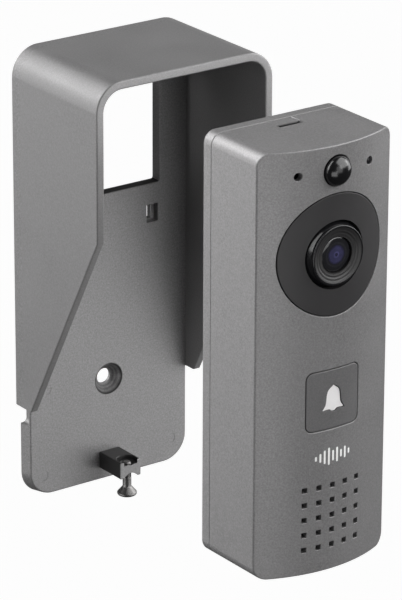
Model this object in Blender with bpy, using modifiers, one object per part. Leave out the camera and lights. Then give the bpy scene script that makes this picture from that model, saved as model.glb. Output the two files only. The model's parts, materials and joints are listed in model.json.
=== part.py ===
"""Video doorbell with its rain-hood wall bracket.

The frame stands on the wall: +Z is up, the visitor stands at -Y, and the wall is the plane y = 0.
The origin is on the bracket's back face, in the middle of the bar under its cable window.
The doorbell is drawn withdrawn from its bracket, straight forward of the place where it docks.
Heights of bracket pieces are measured from the bracket's bottom edge, heights of doorbell pieces
from the doorbell's underside, and depths of doorbell pieces forward from its back face.
"""
import math

import bmesh
import bpy

MM = 0.001
GAP = 0.3 * MM                       # clearance between neighbouring pieces

# Bracket: one moulding of wall plate, hood and screw boss
HOOD_WIDTH = 70 * MM
HOOD_HEIGHT = 159.5 * MM
HOOD_DEPTH = 49 * MM
HOOD_CORNER = 10 * MM
HOOD_WALL = 2.9 * MM
HOOD_FOOT = 34 * MM                  # height at which the side walls end
HOOD_FOOT_DEPTH = 9 * MM
HOOD_FRONT_FOOT = 106 * MM           # height at which the front edge turns back to the wall
PLATE_WIDTH = 65.6 * MM
PLATE_DEPTH = 4.2 * MM
PLATE_CORNER = 9 * MM
RECESS_DEPTH = 2 * MM                # the cable space behind the plate
RECESS_TOP = 97.5 * MM
RIM = 2.6 * MM
WINDOW_WIDTH = 42.4 * MM
WINDOW_BOTTOM = 103.5 * MM
WINDOW_TOP = 151 * MM
ORIGIN_HEIGHT = (RECESS_TOP + WINDOW_BOTTOM) / 2
WALL_HOLE_HEIGHT = 36.5 * MM
WALL_HOLE_RADIUS = 2.7 * MM
WALL_SINK_RADIUS = 5.3 * MM
WALL_SINK_DEPTH = 3.2 * MM
HOOK_X = 18.2 * MM
HOOK_HEIGHT = 92.8 * MM
HOOK_POCKET = (4.6 * MM, 6.4 * MM, 2.4 * MM)
HOOK_SLIT = (1.5 * MM, 5 * MM)
BOSS_WIDTH = 8.4 * MM
BOSS_BOTTOM = 4.4 * MM
BOSS_TOP = 10.4 * MM
BOSS_FRONT = 17.2 * MM
BOSS_BORE = 1.9 * MM
BOSS_UPPER_SINK = (3.6 * MM, 1.4 * MM)
BOSS_LOWER_SINK = (3.85 * MM, 2.1 * MM)
NOTCH_BOTTOM = 26.8 * MM
NOTCH_TOP = 32 * MM

# Retaining screw, partly undone in the boss
SCREW_DEPTH = 14.9 * MM              # distance of its axis from the wall
SCREW_RADIUS = 1.5 * MM
SCREW_HEAD_RADIUS = 3.4 * MM
SCREW_TIP = 9.6 * MM
SCREW_NECK = 0.6 * MM
SCREW_HEAD_BOTTOM = -2.7 * MM

# Doorbell: outer form
BELL_WIDTH = 52 * MM
BELL_HEIGHT = 143 * MM
BELL_SIDE_DEPTH = 27.8 * MM
BELL_FRONT_RADIUS = 51.5 * MM        # the front is part of an upright cylinder
BELL_CORNER = 4.2 * MM
BELL_WALL = 2.2 * MM
SLOT_HALF = 4.7 * MM                 # release slot on top
SLOT_NEAR = 8.8 * MM
SLOT_FAR = 11.2 * MM
SLOT_FLOOR = BELL_HEIGHT - 4 * MM
PRY_DROP = 0.2 * MM
INSERT_HOLE = 2.3 * MM               # in the underside, below the threaded insert
INSERT_BORE = 3.4 * MM
INSERT_SEAT = 1.2 * MM
HOOK_HALF = 0.45 * MM
HOOK_REACH = 3.4 * MM
HOOK_HALF_HEIGHT = 1.8 * MM
TERMINAL_OPENING = (8.4 * MM, 107.6 * MM, 118 * MM)
BELL_UNDERSIDE = 12.5 * MM           # above the bracket's bottom edge
SEAM = 4.2 * MM                      # depth of the joint between cover and housing
DOCKED_BACK = PLATE_DEPTH + GAP
WITHDRAWN = 90 * MM                  # how far forward of its docked place the doorbell is drawn
FRONT_AXIS = BELL_SIDE_DEPTH - math.sqrt(BELL_FRONT_RADIUS ** 2 - (BELL_WIDTH / 2) ** 2)

# Doorbell: places on the front, as heights above its underside
CAMERA_HEIGHT = 107 * MM
BEZEL_HOLE = 20.3 * MM
BEZEL_THICKNESS = 2.6 * MM
RING_RADIUS = 11 * MM
BUTTON_HEIGHT = 58.8 * MM
BUTTON_SIZE = (20.3 * MM, 19.9 * MM)
BUTTON_CORNER = 2.3 * MM
BUTTON_BACK = 31.4 * MM
SENSOR_HEIGHT = 134.6 * MM
SENSOR_X = 13.8 * MM
SENSOR_HOLE = 1.35 * MM
PIR_RADIUS = 4.85 * MM
GRILLE_HEIGHT = 18.9 * MM
GRILLE_PITCH = 5.15 * MM
GRILLE_HOLE = 1.85 * MM
GRILLE_COUNT = 5

# Doorbell: inner layout
POSTS = [(17.8 * MM, 8 * MM), (17.8 * MM, 123.5 * MM)]
BOARD_POST = (18 * MM, 76 * MM)
POST_RADIUS = 2.6 * MM
POST_FRONT = 30.5 * MM
POST_HOLE = 1.75 * MM
LIP = 5.6 * MM                       # how far the cover's lip reaches into the housing
BOARD = 20.6 * MM                    # depth of the main board's back
BOARD_THICKNESS = 1.6 * MM
BOARD_FRONT = BOARD + BOARD_THICKNESS + GAP
INSERT_DEPTH = SCREW_DEPTH - DOCKED_BACK

FACING = (math.pi / 2, 0, 0)         # turns local +Z to face the visitor
SIDEWAYS = (math.pi / 2, 0, math.pi / 2)
UPRIGHT = (0, 0, 0)


def clear_scene():
    for obj in list(bpy.data.objects):
        bpy.data.objects.remove(obj)


def new_collection(name):
    collection = bpy.data.collections.new(name)
    bpy.context.scene.collection.children.link(collection)
    return collection


def material(name, colour, roughness, metallic=0.0):
    made = bpy.data.materials.new(name)
    made.use_nodes = True
    shader = made.node_tree.nodes["Principled BSDF"]
    shader.inputs["Base Color"].default_value = (*colour, 1)
    shader.inputs["Roughness"].default_value = roughness
    shader.inputs["Metallic"].default_value = metallic
    return made


clear_scene()
PARTS = new_collection("video_doorbell")
TOOLS = new_collection("cutting_tools")


def frame(name, location):
    """An empty that its pieces are parented to."""
    empty = bpy.data.objects.new(name, None)
    empty.location = location
    PARTS.objects.link(empty)
    return empty


BRACKET = frame("bracket_frame", (0, 0, -ORIGIN_HEIGHT))
BELL = frame("doorbell_frame", (0, -DOCKED_BACK - WITHDRAWN, BELL_UNDERSIDE - ORIGIN_HEIGHT))


# ---------------------------------------------------------------- shapes

def rounded_rectangle(width, height, radius, steps=4, lower_radius=None):
    points = []
    for quarter, (side, end) in enumerate(((1, 1), (-1, 1), (-1, -1), (1, -1))):
        corner = lower_radius if lower_radius and end < 0 else radius
        for step in range(steps + 1):
            angle = math.radians(90 * (quarter + step / steps))
            points.append((side * (width / 2 - corner) + corner * math.cos(angle),
                           end * (height / 2 - corner) + corner * math.sin(angle)))
    return points


def circle(radius, steps=24):
    return [(radius * math.cos(2 * math.pi * i / steps), radius * math.sin(2 * math.pi * i / steps))
            for i in range(steps)]


def outline_mesh(name, loops, thickness):
    """A filled flat outline, with holes where one loop lies in another, half as thick each way."""
    curve = bpy.data.curves.new(name, "CURVE")
    curve.dimensions = "2D"
    curve.fill_mode = "BOTH"
    curve.extrude = thickness / 2
    for loop in loops:
        spline = curve.splines.new("POLY")
        spline.points.add(len(loop) - 1)
        for point, (u, v) in zip(spline.points, loop):
            point.co = (u, v, 0, 1)
        spline.use_cyclic_u = True
    holder = bpy.data.objects.new(name, curve)
    bpy.context.scene.collection.objects.link(holder)
    graph = bpy.context.evaluated_depsgraph_get()
    mesh = bpy.data.meshes.new_from_object(holder.evaluated_get(graph))
    bpy.data.objects.remove(holder)
    bpy.data.curves.remove(curve)
    return finish_mesh(mesh, lambda bm: bmesh.ops.remove_doubles(bm, verts=bm.verts, dist=1e-6))


def finish_mesh(mesh, build):
    bm = bmesh.new()
    bm.from_mesh(mesh)
    build(bm)
    bmesh.ops.recalc_face_normals(bm, faces=bm.faces)
    bm.to_mesh(mesh)
    bm.free()
    return mesh


def box_mesh(name, size):
    def build(bm):
        bmesh.ops.create_cube(bm, size=1)
        bmesh.ops.scale(bm, vec=size, verts=bm.verts)
    return finish_mesh(bpy.data.meshes.new(name), build)


def cone_mesh(name, bottom, top, depth, steps):
    def build(bm):
        bmesh.ops.create_cone(bm, cap_ends=True, segments=steps, radius1=bottom, radius2=top, depth=depth)
    return finish_mesh(bpy.data.meshes.new(name), build)


def add(mesh, parent, location, rotation=UPRIGHT, finish=None):
    """An object of that mesh: a piece where it has a finish, a cutting tool where it has none."""
    obj = bpy.data.objects.new(mesh.name, mesh)
    obj.parent = parent
    obj.location = location
    obj.rotation_euler = rotation
    if finish:
        PARTS.objects.link(obj)
        mesh.materials.append(finish)
    else:
        TOOLS.objects.link(obj)
        obj.hide_render = True
        obj.display_type = "WIRE"
    return obj


def slab(name, loops, near, far, parent=BELL, centre=(0, 0), finish=None):
    """An outline in the x-z plane, between two depths in front of the parent's back plane."""
    mesh = outline_mesh(name, loops, far - near)
    return add(mesh, parent, (centre[0], -(near + far) / 2, centre[1]), FACING, finish)


def block(name, low, high, parent=BELL, finish=None):
    """A box between two corners, each given as x, depth and height."""
    size = [abs(b - a) for a, b in zip(low, high)]
    middle = [(a + b) / 2 for a, b in zip(low, high)]
    return add(box_mesh(name, size), parent, (middle[0], -middle[1], middle[2]), UPRIGHT, finish)


def rod(name, radius, near, far, centre=(0, 0), parent=BELL, finish=None, far_radius=None, steps=24):
    """A cylinder or cone whose axis faces the visitor."""
    wide = radius if far_radius is None else far_radius
    mesh = cone_mesh(name, radius, wide, far - near, steps)
    return smooth(add(mesh, parent, (centre[0], -(near + far) / 2, centre[1]), FACING, finish))


def upright_rod(name, radius, bottom, top, depth, parent=BELL, finish=None, steps=24):
    mesh = cone_mesh(name, radius, radius, top - bottom, steps)
    return smooth(add(mesh, parent, (0, -depth, (bottom + top) / 2), UPRIGHT, finish))


def turned(name, profile, centre, finish, parent=BELL, rotation=FACING, steps=24, closed=False):
    """A turned piece: radius and height along its axis, down the outer side from the top."""
    mesh = bpy.data.meshes.new(name)
    edges = [(i, i + 1) for i in range(len(profile) - 1)]
    if closed:
        edges.append((len(profile) - 1, 0))
    mesh.from_pydata([(radius, 0, height) for radius, height in profile], edges, [])
    obj = add(mesh, parent, centre, rotation, finish)
    screw = obj.modifiers.new("Turn", "SCREW")
    screw.steps = steps
    screw.render_steps = steps
    screw.use_merge_vertices = True
    screw.merge_threshold = 1e-6
    screw.use_smooth_shade = True
    return obj


def smooth(obj):
    obj.data.shade_smooth()
    obj.data.set_sharp_from_angle(angle=math.radians(35))
    return obj


def shape(obj, *steps):
    """Boolean steps, each an operation and its tool: cut, join or trim."""
    kinds = {"cut": "DIFFERENCE", "join": "UNION", "trim": "INTERSECT"}
    for kind, tool in steps:
        modifier = obj.modifiers.new(kind, "BOOLEAN")
        modifier.operation = kinds[kind]
        modifier.object = tool
    return obj


def both_sides(x, height):
    return [(-x, height), (x, height)]


def bell_prism(name, inset, near, far, finish=None):
    """The doorbell's rounded outline, drawn in by inset, between two depths."""
    outline = rounded_rectangle(BELL_WIDTH - 2 * inset, BELL_HEIGHT - 2 * inset,
                                max(BELL_CORNER - inset, 1 * MM))
    return slab(name, [outline], near, far, centre=(0, BELL_HEIGHT / 2), finish=finish)


def bell_ring(name, inset, width, near, far, finish=None):
    """A band that follows the doorbell's outline."""
    loops = [rounded_rectangle(BELL_WIDTH - 2 * step, BELL_HEIGHT - 2 * step, max(BELL_CORNER - step, 1 * MM))
             for step in (inset, inset + width)]
    return slab(name, loops, near, far, centre=(0, BELL_HEIGHT / 2), finish=finish)


def front_cylinder(name, inset):
    """The upright cylinder that the front face follows, drawn in by inset, with a facet in the middle."""
    sides = 96
    mesh = cone_mesh(name, BELL_FRONT_RADIUS - inset, BELL_FRONT_RADIUS - inset, BELL_HEIGHT + 20 * MM, sides)
    return add(mesh, BELL, (0, -FRONT_AXIS, BELL_HEIGHT / 2), (0, 0, math.pi / sides))


# ---------------------------------------------------------------- materials

GREY_PLASTIC = material("grey_plastic", (0.115, 0.112, 0.115), 0.42, 0.35)
BUTTON_GREY = material("button_grey", (0.085, 0.083, 0.085), 0.45, 0.3)
BLACK_PLASTIC = material("black_plastic", (0.03, 0.03, 0.031), 0.4)
GLOSS_BLACK = material("gloss_black", (0.008, 0.008, 0.009), 0.08)
GLASS = material("lens_glass", (0.03, 0.03, 0.06), 0.03)
WHITE_PLASTIC = material("white_plastic", (0.8, 0.8, 0.8), 0.4)
STEEL = material("steel", (0.55, 0.55, 0.55), 0.25, 1.0)
BRASS = material("brass", (0.7, 0.5, 0.2), 0.3, 1.0)
RUBBER = material("rubber", (0.02, 0.02, 0.02), 0.7)
BOARD_GREEN = material("board_green", (0.01, 0.12, 0.05), 0.4)
TERMINAL_GREEN = material("terminal_green", (0.02, 0.25, 0.08), 0.5)
PAPER = material("speaker_paper", (0.04, 0.04, 0.04), 0.8)
COPPER_FOIL = material("copper_foil", (0.6, 0.25, 0.1), 0.4, 0.8)


# ---------------------------------------------------------------- bracket

def hood_outline(inset):
    """The hood's upside-down U, drawn in by inset, from its foot up and over."""
    half = HOOD_WIDTH / 2 - inset
    top = HOOD_HEIGHT - inset
    radius = HOOD_CORNER - inset
    points = [(half, HOOD_FOOT)]
    for side, start in ((1, 0), (-1, 90)):
        for step in range(7):
            angle = math.radians(start + 15 * step)
            points.append((side * (half - radius) + radius * math.cos(angle),
                           top - radius + radius * math.sin(angle)))
    points.append((-half, HOOD_FOOT))
    return points


def side_profile():
    """The hood seen from the side, as depth and height: the part of it that is kept."""
    clear = 2 * MM
    return [(clear, HOOD_FOOT), (clear, HOOD_HEIGHT + clear), (-HOOD_DEPTH, HOOD_HEIGHT + clear),
            (-HOOD_DEPTH, HOOD_FRONT_FOOT), (-HOOD_FOOT_DEPTH, HOOD_FOOT)]


def bracket_hood():
    outline = hood_outline(0) + hood_outline(HOOD_WALL)[::-1]
    hood = slab("hood_shell", [outline], 0, HOOD_DEPTH, BRACKET)
    keep = add(outline_mesh("hood_side", [side_profile()], HOOD_WIDTH + 10 * MM), BRACKET, (0, 0, 0), SIDEWAYS)
    return shape(hood, ("trim", keep))


def bracket_recess():
    """The space behind the plate, with the islands that stay solid against the wall."""
    half = PLATE_WIDTH / 2 - RIM
    recess = block("plate_recess", (-half, -1 * MM, RIM), (half, RECESS_DEPTH, RECESS_TOP), BRACKET)
    shape(recess, ("cut", rod("hole_island", 8 * MM, -2 * MM, 3 * MM, (0, WALL_HOLE_HEIGHT), BRACKET)))
    shape(recess, ("cut", block("boss_island", (-BOSS_WIDTH / 2, -2 * MM, 0),
                                (BOSS_WIDTH / 2, 3 * MM, BOSS_TOP + 2 * MM), BRACKET)))
    for index, x in enumerate((-HOOK_X, HOOK_X)):
        half_width = HOOK_POCKET[0] / 2 + 2.5 * MM
        low = (x - half_width, -2 * MM, HOOK_HEIGHT - HOOK_POCKET[1] / 2 - 2.5 * MM)
        island = block(f"hook_island_{index}", low, (x + half_width, 3 * MM, RECESS_TOP + MM), BRACKET)
        shape(recess, ("cut", island))
    return recess


def boss_bores():
    """The boss's bore, with a round pocket above it and a cone below for the screw's head."""
    upper_radius, upper_depth = BOSS_UPPER_SINK
    lower_radius, lower_depth = BOSS_LOWER_SINK
    bore = upright_rod("boss_hole", BOSS_BORE, 0, BOSS_TOP + MM, SCREW_DEPTH, BRACKET)
    pocket = upright_rod("boss_upper_sink", upper_radius, BOSS_TOP - upper_depth, BOSS_TOP + MM, SCREW_DEPTH,
                         BRACKET)
    cone = add(cone_mesh("boss_lower_sink", lower_radius, BOSS_BORE, lower_depth, 24), BRACKET,
               (0, -SCREW_DEPTH, BOSS_BOTTOM + lower_depth / 2 - 0.01 * MM))
    return [bore, pocket, cone]


def bracket_openings():
    """Everything that is cut through the finished bracket."""
    half = WINDOW_WIDTH / 2
    through = PLATE_DEPTH + 1 * MM
    tools = [block("cable_window", (-half, -MM, WINDOW_BOTTOM), (half, through, WINDOW_TOP), BRACKET),
             rod("wall_hole", WALL_HOLE_RADIUS, -MM, through, (0, WALL_HOLE_HEIGHT), BRACKET),
             rod("wall_sink", WALL_HOLE_RADIUS, PLATE_DEPTH - WALL_SINK_DEPTH, PLATE_DEPTH + 0.01 * MM,
                 (0, WALL_HOLE_HEIGHT), BRACKET, far_radius=WALL_SINK_RADIUS),
             *boss_bores(),
             block("cable_notch", (-HOOD_WIDTH / 2, -MM, NOTCH_BOTTOM),
                   (-PLATE_WIDTH / 2 + RIM + MM, PLATE_DEPTH - 0.6 * MM, NOTCH_TOP), BRACKET)]
    for index, x in enumerate((-HOOK_X, HOOK_X)):
        width, height, depth = HOOK_POCKET
        tools.append(block(f"hook_pocket_{index}", (x - width / 2, PLATE_DEPTH - depth, HOOK_HEIGHT - height / 2),
                           (x + width / 2, through, HOOK_HEIGHT + height / 2), BRACKET))
        tools.append(block(f"hook_slit_{index}", (x - HOOK_SLIT[0] / 2, -MM, HOOK_HEIGHT - HOOK_SLIT[1] / 2),
                           (x + HOOK_SLIT[0] / 2, through, HOOK_HEIGHT + HOOK_SLIT[1] / 2), BRACKET))
    return tools


def hood_bracket():
    sunk = HOOD_WALL / 2             # how far the plate's upper edge reaches into the hood's wall
    height = HOOD_HEIGHT - sunk
    outline = rounded_rectangle(PLATE_WIDTH, height, HOOD_CORNER - sunk, 6, PLATE_CORNER)
    plate = slab("hood_bracket", [outline], 0, PLATE_DEPTH, BRACKET, (0, height / 2), GREY_PLASTIC)
    boss = block("screw_boss", (-BOSS_WIDTH / 2, PLATE_DEPTH - MM, BOSS_BOTTOM),
                 (BOSS_WIDTH / 2, BOSS_FRONT, BOSS_TOP), BRACKET)
    shape(plate, ("join", bracket_hood()), ("join", boss), ("cut", bracket_recess()))
    shape(plate, *(("cut", tool) for tool in bracket_openings()))


def retaining_screw():
    """Countersunk screw, head down, that rises through the boss into the doorbell's underside."""
    rim = 0.6 * MM
    profile = [(0, SCREW_TIP), (SCREW_RADIUS - 0.4 * MM, SCREW_TIP), (SCREW_RADIUS, SCREW_TIP - 0.5 * MM),
               (SCREW_RADIUS, SCREW_NECK), (SCREW_HEAD_RADIUS, SCREW_HEAD_BOTTOM + 2 * rim),
               (SCREW_HEAD_RADIUS, SCREW_HEAD_BOTTOM + rim), (SCREW_HEAD_RADIUS - rim, SCREW_HEAD_BOTTOM),
               (0, SCREW_HEAD_BOTTOM)]
    turned("retaining_screw", profile, (0, -SCREW_DEPTH, 0), STEEL, BRACKET, UPRIGHT, steps=28)


# ---------------------------------------------------------------- doorbell casing

def grille_cutter():
    """A square grid of square sound holes, as one tool."""
    def build(bm):
        reach = (GRILLE_COUNT - 1) / 2
        for column in range(GRILLE_COUNT):
            for row in range(GRILLE_COUNT):
                made = bmesh.ops.create_cube(bm, size=1)["verts"]
                bmesh.ops.scale(bm, vec=(GRILLE_HOLE, 12 * MM, GRILLE_HOLE), verts=made)
                offset = ((column - reach) * GRILLE_PITCH, 0, (row - reach) * GRILLE_PITCH)
                bmesh.ops.translate(bm, vec=offset, verts=made)
    mesh = finish_mesh(bpy.data.meshes.new("grille_holes"), build)
    return add(mesh, BELL, (0, -32 * MM, GRILLE_HEIGHT))


def casing_posts():
    """Screw posts behind the front wall: four for the cover, two for the main board."""
    posts = []
    for index, (x, height) in enumerate(POSTS + [BOARD_POST]):
        near, depth = (BOARD_FRONT, 5.5 * MM) if (x, height) == BOARD_POST else (BELL_WALL + GAP, 9 * MM)
        for side, centre in enumerate(both_sides(x, height)):
            post = rod(f"post_{index}_{side}", POST_RADIUS, near, POST_FRONT, centre, steps=16)
            hole = rod(f"post_hole_{index}_{side}", POST_HOLE, near - MM, near + depth, centre, steps=12)
            posts.append((post, hole))
    return posts


def front_housing():
    deep = 45 * MM
    shell = bell_prism("front_housing", 0, SEAM + GAP, deep, GREY_PLASTIC)
    cavity = bell_prism("housing_cavity", BELL_WALL, 0, deep)
    shape(cavity, ("trim", front_cylinder("cavity_front", BELL_WALL)))
    shape(shell, ("trim", front_cylinder("front_face", 0)), ("cut", cavity))
    posts = casing_posts()
    insert_boss = upright_rod("insert_boss", 4.6 * MM, BELL_WALL / 2, 8.5 * MM, INSERT_DEPTH)
    shape(shell, ("join", insert_boss), *(("join", post) for post, hole in posts))
    shape(shell, *(("cut", hole) for post, hole in posts))
    button = rounded_rectangle(BUTTON_SIZE[0] + 2 * GAP, BUTTON_SIZE[1] + 2 * GAP, BUTTON_CORNER + GAP)
    front = (24 * MM, deep)
    above = BELL_HEIGHT + MM
    shape(shell,
          ("cut", rod("bezel_hole", BEZEL_HOLE, *front, (0, CAMERA_HEIGHT), steps=56)),
          ("cut", slab("button_hole", [button], *front, centre=(0, BUTTON_HEIGHT))),
          ("cut", rod("pir_hole", PIR_RADIUS + GAP, *front, (0, SENSOR_HEIGHT), steps=32)),
          ("cut", rod("microphone_hole", SENSOR_HOLE, *front, (-SENSOR_X, SENSOR_HEIGHT), steps=16)),
          ("cut", rod("light_hole", SENSOR_HOLE, *front, (SENSOR_X, SENSOR_HEIGHT), steps=16)),
          ("cut", grille_cutter()),
          ("cut", upright_rod("underside_hole", INSERT_HOLE, -MM, 2 * MM, INSERT_DEPTH)),
          ("cut", upright_rod("insert_bore", INSERT_BORE, INSERT_SEAT, 10 * MM, INSERT_DEPTH)),
          ("cut", block("release_slot", (-SLOT_HALF, SLOT_NEAR, SLOT_FLOOR), (SLOT_HALF, SLOT_FAR, above))),
          ("cut", block("pry_notch", (-SLOT_HALF, 0, BELL_HEIGHT - PRY_DROP), (SLOT_HALF, SLOT_NEAR, above))))


def back_cover():
    """The flat tray that closes the housing, with a lip inside it and two hooks behind."""
    cover = bell_prism("back_cover", 0, 0, SEAM, GREY_PLASTIC)
    shape(cover, ("cut", bell_prism("cover_pocket", BELL_WALL, BELL_WALL, SEAM + MM)),
          ("join", bell_ring("cover_lip", 4 * MM, 1.2 * MM, BELL_WALL - 0.2 * MM, LIP)))
    hook_height = HOOK_HEIGHT - BELL_UNDERSIDE
    for side, x in enumerate((-HOOK_X, HOOK_X)):
        hook = block(f"hook_{side}", (x - HOOK_HALF, -HOOK_REACH, hook_height - HOOK_HALF_HEIGHT),
                     (x + HOOK_HALF, 0.5 * MM, hook_height + HOOK_HALF_HEIGHT))
        shape(cover, ("join", hook))
    for row, (x, height) in enumerate(POSTS):
        for side, centre in enumerate(both_sides(x, height)):
            shape(cover, ("cut", rod(f"cover_hole_{row}_{side}", POST_HOLE, -MM, 3 * MM, centre, steps=16)),
                  ("cut", rod(f"cover_sink_{row}_{side}", 2.9 * MM, -MM, 1.6 * MM, centre, steps=20)))
    half, low, high = TERMINAL_OPENING
    shape(cover, ("cut", block("terminal_opening", (-half, -MM, low), (half, 4 * MM, high))))


def cover_gasket():
    bell_ring("cover_gasket", BELL_WALL + GAP, 1.2 * MM, SEAM + GAP, LIP, RUBBER)


def small_screw(name, centre, near, head_radius, head, shank_radius, length):
    """A flat-headed screw driven in from behind: its head's back face is at depth near."""
    profile = [(0, near + length), (shank_radius, near + length), (shank_radius, near + head),
               (head_radius, near + head), (head_radius, near), (0, near)]
    turned(name, profile, (centre[0], 0, centre[1]), STEEL, steps=16)


def casing_screws():
    number = 1
    for x, height in POSTS:
        for centre in both_sides(x, height):
            small_screw(f"cover_screw_{number}", centre, 0.2 * MM, 2.6 * MM, 1.1 * MM, 1.4 * MM, 9 * MM)
            number += 1
    for side, centre in enumerate(both_sides(*BOARD_POST)):
        near = BOARD - GAP - 1.2 * MM
        small_screw(f"board_screw_{side + 1}", centre, near, 2.5 * MM, 1.2 * MM, 1.2 * MM, 8 * MM)


def threaded_insert():
    outer = 3.1 * MM
    bore = SCREW_RADIUS + 0.4 * MM
    profile = [(outer, 7.5 * MM), (outer, 1.5 * MM), (bore, 1.5 * MM), (bore, 7.5 * MM)]
    turned("threaded_insert", profile, (0, -INSERT_DEPTH, 0), BRASS, rotation=UPRIGHT, closed=True)


# ---------------------------------------------------------------- camera

def on_camera(x=0.0, rise=0.0):
    return (x, CAMERA_HEIGHT + rise)


def camera_bezel():
    """The dark disc let into the front, which follows its curve."""
    bezel = rod("camera_bezel", BEZEL_HOLE - GAP, 24 * MM, 45 * MM, on_camera(), finish=BLACK_PLASTIC, steps=56)
    shape(bezel, ("trim", front_cylinder("bezel_front", 0)),
          ("cut", front_cylinder("bezel_back", BEZEL_THICKNESS)),
          ("cut", rod("ring_hole", RING_RADIUS + GAP, 20 * MM, 50 * MM, on_camera(), steps=40)))


def camera_ring():
    """The raised ring around the lens, dished towards it."""
    edge = 0.6 * MM
    top = 35.9 * MM
    back = 30.5 * MM
    bore = 5.9 * MM
    profile = [(RING_RADIUS - edge - 0.8 * MM, top), (RING_RADIUS - edge, top), (RING_RADIUS, top - edge),
               (RING_RADIUS, back), (bore, back), (bore, top - 1.3 * MM)]
    turned("camera_ring", profile, (0, 0, CAMERA_HEIGHT), GLOSS_BLACK, steps=40, closed=True)


def lens_stack():
    """The clear window in the ring, the lens barrel behind it, and its front element."""
    window = [(0, 35.2 * MM), (2.9 * MM, 34.95 * MM), (5 * MM, 34.3 * MM), (5.6 * MM, 33.9 * MM),
              (5.6 * MM, 33.2 * MM), (0, 33.2 * MM)]
    turned("lens_window", window, (0, 0, CAMERA_HEIGHT), GLASS, steps=32)
    barrel = [(0, 28.8 * MM), (3 * MM, 28.8 * MM), (4.6 * MM, 32.8 * MM), (5.4 * MM, 32.8 * MM),
              (5.4 * MM, 30.6 * MM), (6 * MM, 30.2 * MM), (6 * MM, 27.8 * MM), (0, 27.8 * MM)]
    turned("lens_barrel", barrel, (0, 0, CAMERA_HEIGHT), BLACK_PLASTIC, steps=32)
    element = [(0, 31.9 * MM), (1.6 * MM, 31.6 * MM), (2.7 * MM, 30.9 * MM), (2.7 * MM, 29.9 * MM),
               (2.4 * MM, 29.1 * MM), (0, 29.1 * MM)]
    turned("lens_element", element, (0, 0, CAMERA_HEIGHT), GLASS)


def camera_electronics():
    outline = rounded_rectangle(13 * MM, 13 * MM, 1.2 * MM, 2)
    slab("camera_module", [outline], BOARD_FRONT, 27.5 * MM, centre=on_camera(), finish=BLACK_PLASTIC)
    offset = 11 * MM
    number = 1
    for rise in (-offset, offset):
        for x in (-offset, offset):
            near = BOARD_FRONT
            profile = [(0, near + 4.6 * MM), (1 * MM, near + 4.2 * MM), (1.5 * MM, near + 3.2 * MM),
                       (1.5 * MM, near + MM), (1.9 * MM, near + MM), (1.9 * MM, near), (0, near)]
            turned(f"infrared_led_{number}", profile, (x, 0, CAMERA_HEIGHT + rise), GLASS, steps=12)
            number += 1


# ---------------------------------------------------------------- sensors

def pir_detector():
    """The domed motion lens and the round sensor can behind it."""
    root = 34.8 * MM
    rise = 3.2 * MM
    wall = 0.95 * MM
    dome = [(PIR_RADIUS * math.sin(math.radians(a)), root + rise * math.cos(math.radians(a)))
            for a in (0, 20, 40, 60, 77, 90)]
    inner = [((PIR_RADIUS - wall) * math.sin(math.radians(a)), root + (rise - wall) * math.cos(math.radians(a)))
             for a in (90, 70, 45, 20, 0)]
    flange = [(PIR_RADIUS, 31.9 * MM), (6.2 * MM, 31.9 * MM), (6.2 * MM, 30.9 * MM), (PIR_RADIUS - wall, 30.9 * MM)]
    turned("pir_lens", dome + flange + inner, (0, 0, SENSOR_HEIGHT), GLOSS_BLACK, steps=28)
    can = [(0, 30.4 * MM), (4.2 * MM, 30.4 * MM), (4.6 * MM, 30 * MM), (4.6 * MM, 25.8 * MM), (0, 25.8 * MM)]
    turned("pir_sensor", can, (0, 0, SENSOR_HEIGHT), STEEL)


def microphone():
    rod("microphone", 2.9 * MM, 25.7 * MM, 27.6 * MM, (-SENSOR_X, SENSOR_HEIGHT), finish=STEEL, steps=20)
    boot = [(3.4 * MM, 29.2 * MM), (3.4 * MM, 27.9 * MM), (1.1 * MM, 27.9 * MM), (1.1 * MM, 29.2 * MM)]
    turned("microphone_seal", boot, (-SENSOR_X, 0, SENSOR_HEIGHT), RUBBER, steps=20, closed=True)


def light_sensor():
    pipe = [(0, 32.6 * MM), (1.05 * MM, 32.4 * MM), (1.05 * MM, 29 * MM), (2.2 * MM, 29 * MM),
            (2.2 * MM, 28 * MM), (1.05 * MM, 28 * MM), (1.05 * MM, 27.2 * MM), (0, 27.2 * MM)]
    turned("light_pipe", pipe, (SENSOR_X, 0, SENSOR_HEIGHT), GLASS, steps=16)
    half = 1.1 * MM
    block("light_sensor", (SENSOR_X - half, 25.7 * MM, SENSOR_HEIGHT - half),
          (SENSOR_X + half, 26.7 * MM, SENSOR_HEIGHT + half), finish=BLACK_PLASTIC)


def sensor_board():
    outline = rounded_rectangle(38 * MM, 10.4 * MM, 1 * MM, 2)
    slab("sensor_board", [outline], 24 * MM, 25.4 * MM, centre=(0, SENSOR_HEIGHT + 0.2 * MM), finish=BOARD_GREEN)


# ---------------------------------------------------------------- bell button

def bell_outline(grow=0.0):
    """A bell: crown, waist, flared mouth and clapper, on a 9 mm height."""
    half = [(0, 4.5), (0.7, 4.4), (1, 3.9), (2.1, 3.1), (2.6, 1.8), (2.8, -0.4), (3.3, -2.1), (4, -3),
            (4, -3.5), (1.1, -3.4), (0.8, -4.3), (0, -4.5)]
    side = [(x * MM, z * MM) for x, z in half]
    points = side + [(-x, z) for x, z in side[-2:0:-1]]
    if not grow:
        return points
    scale = 1 + grow / (3.4 * MM)
    return [(x * scale, z * scale) for x, z in points]


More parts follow.
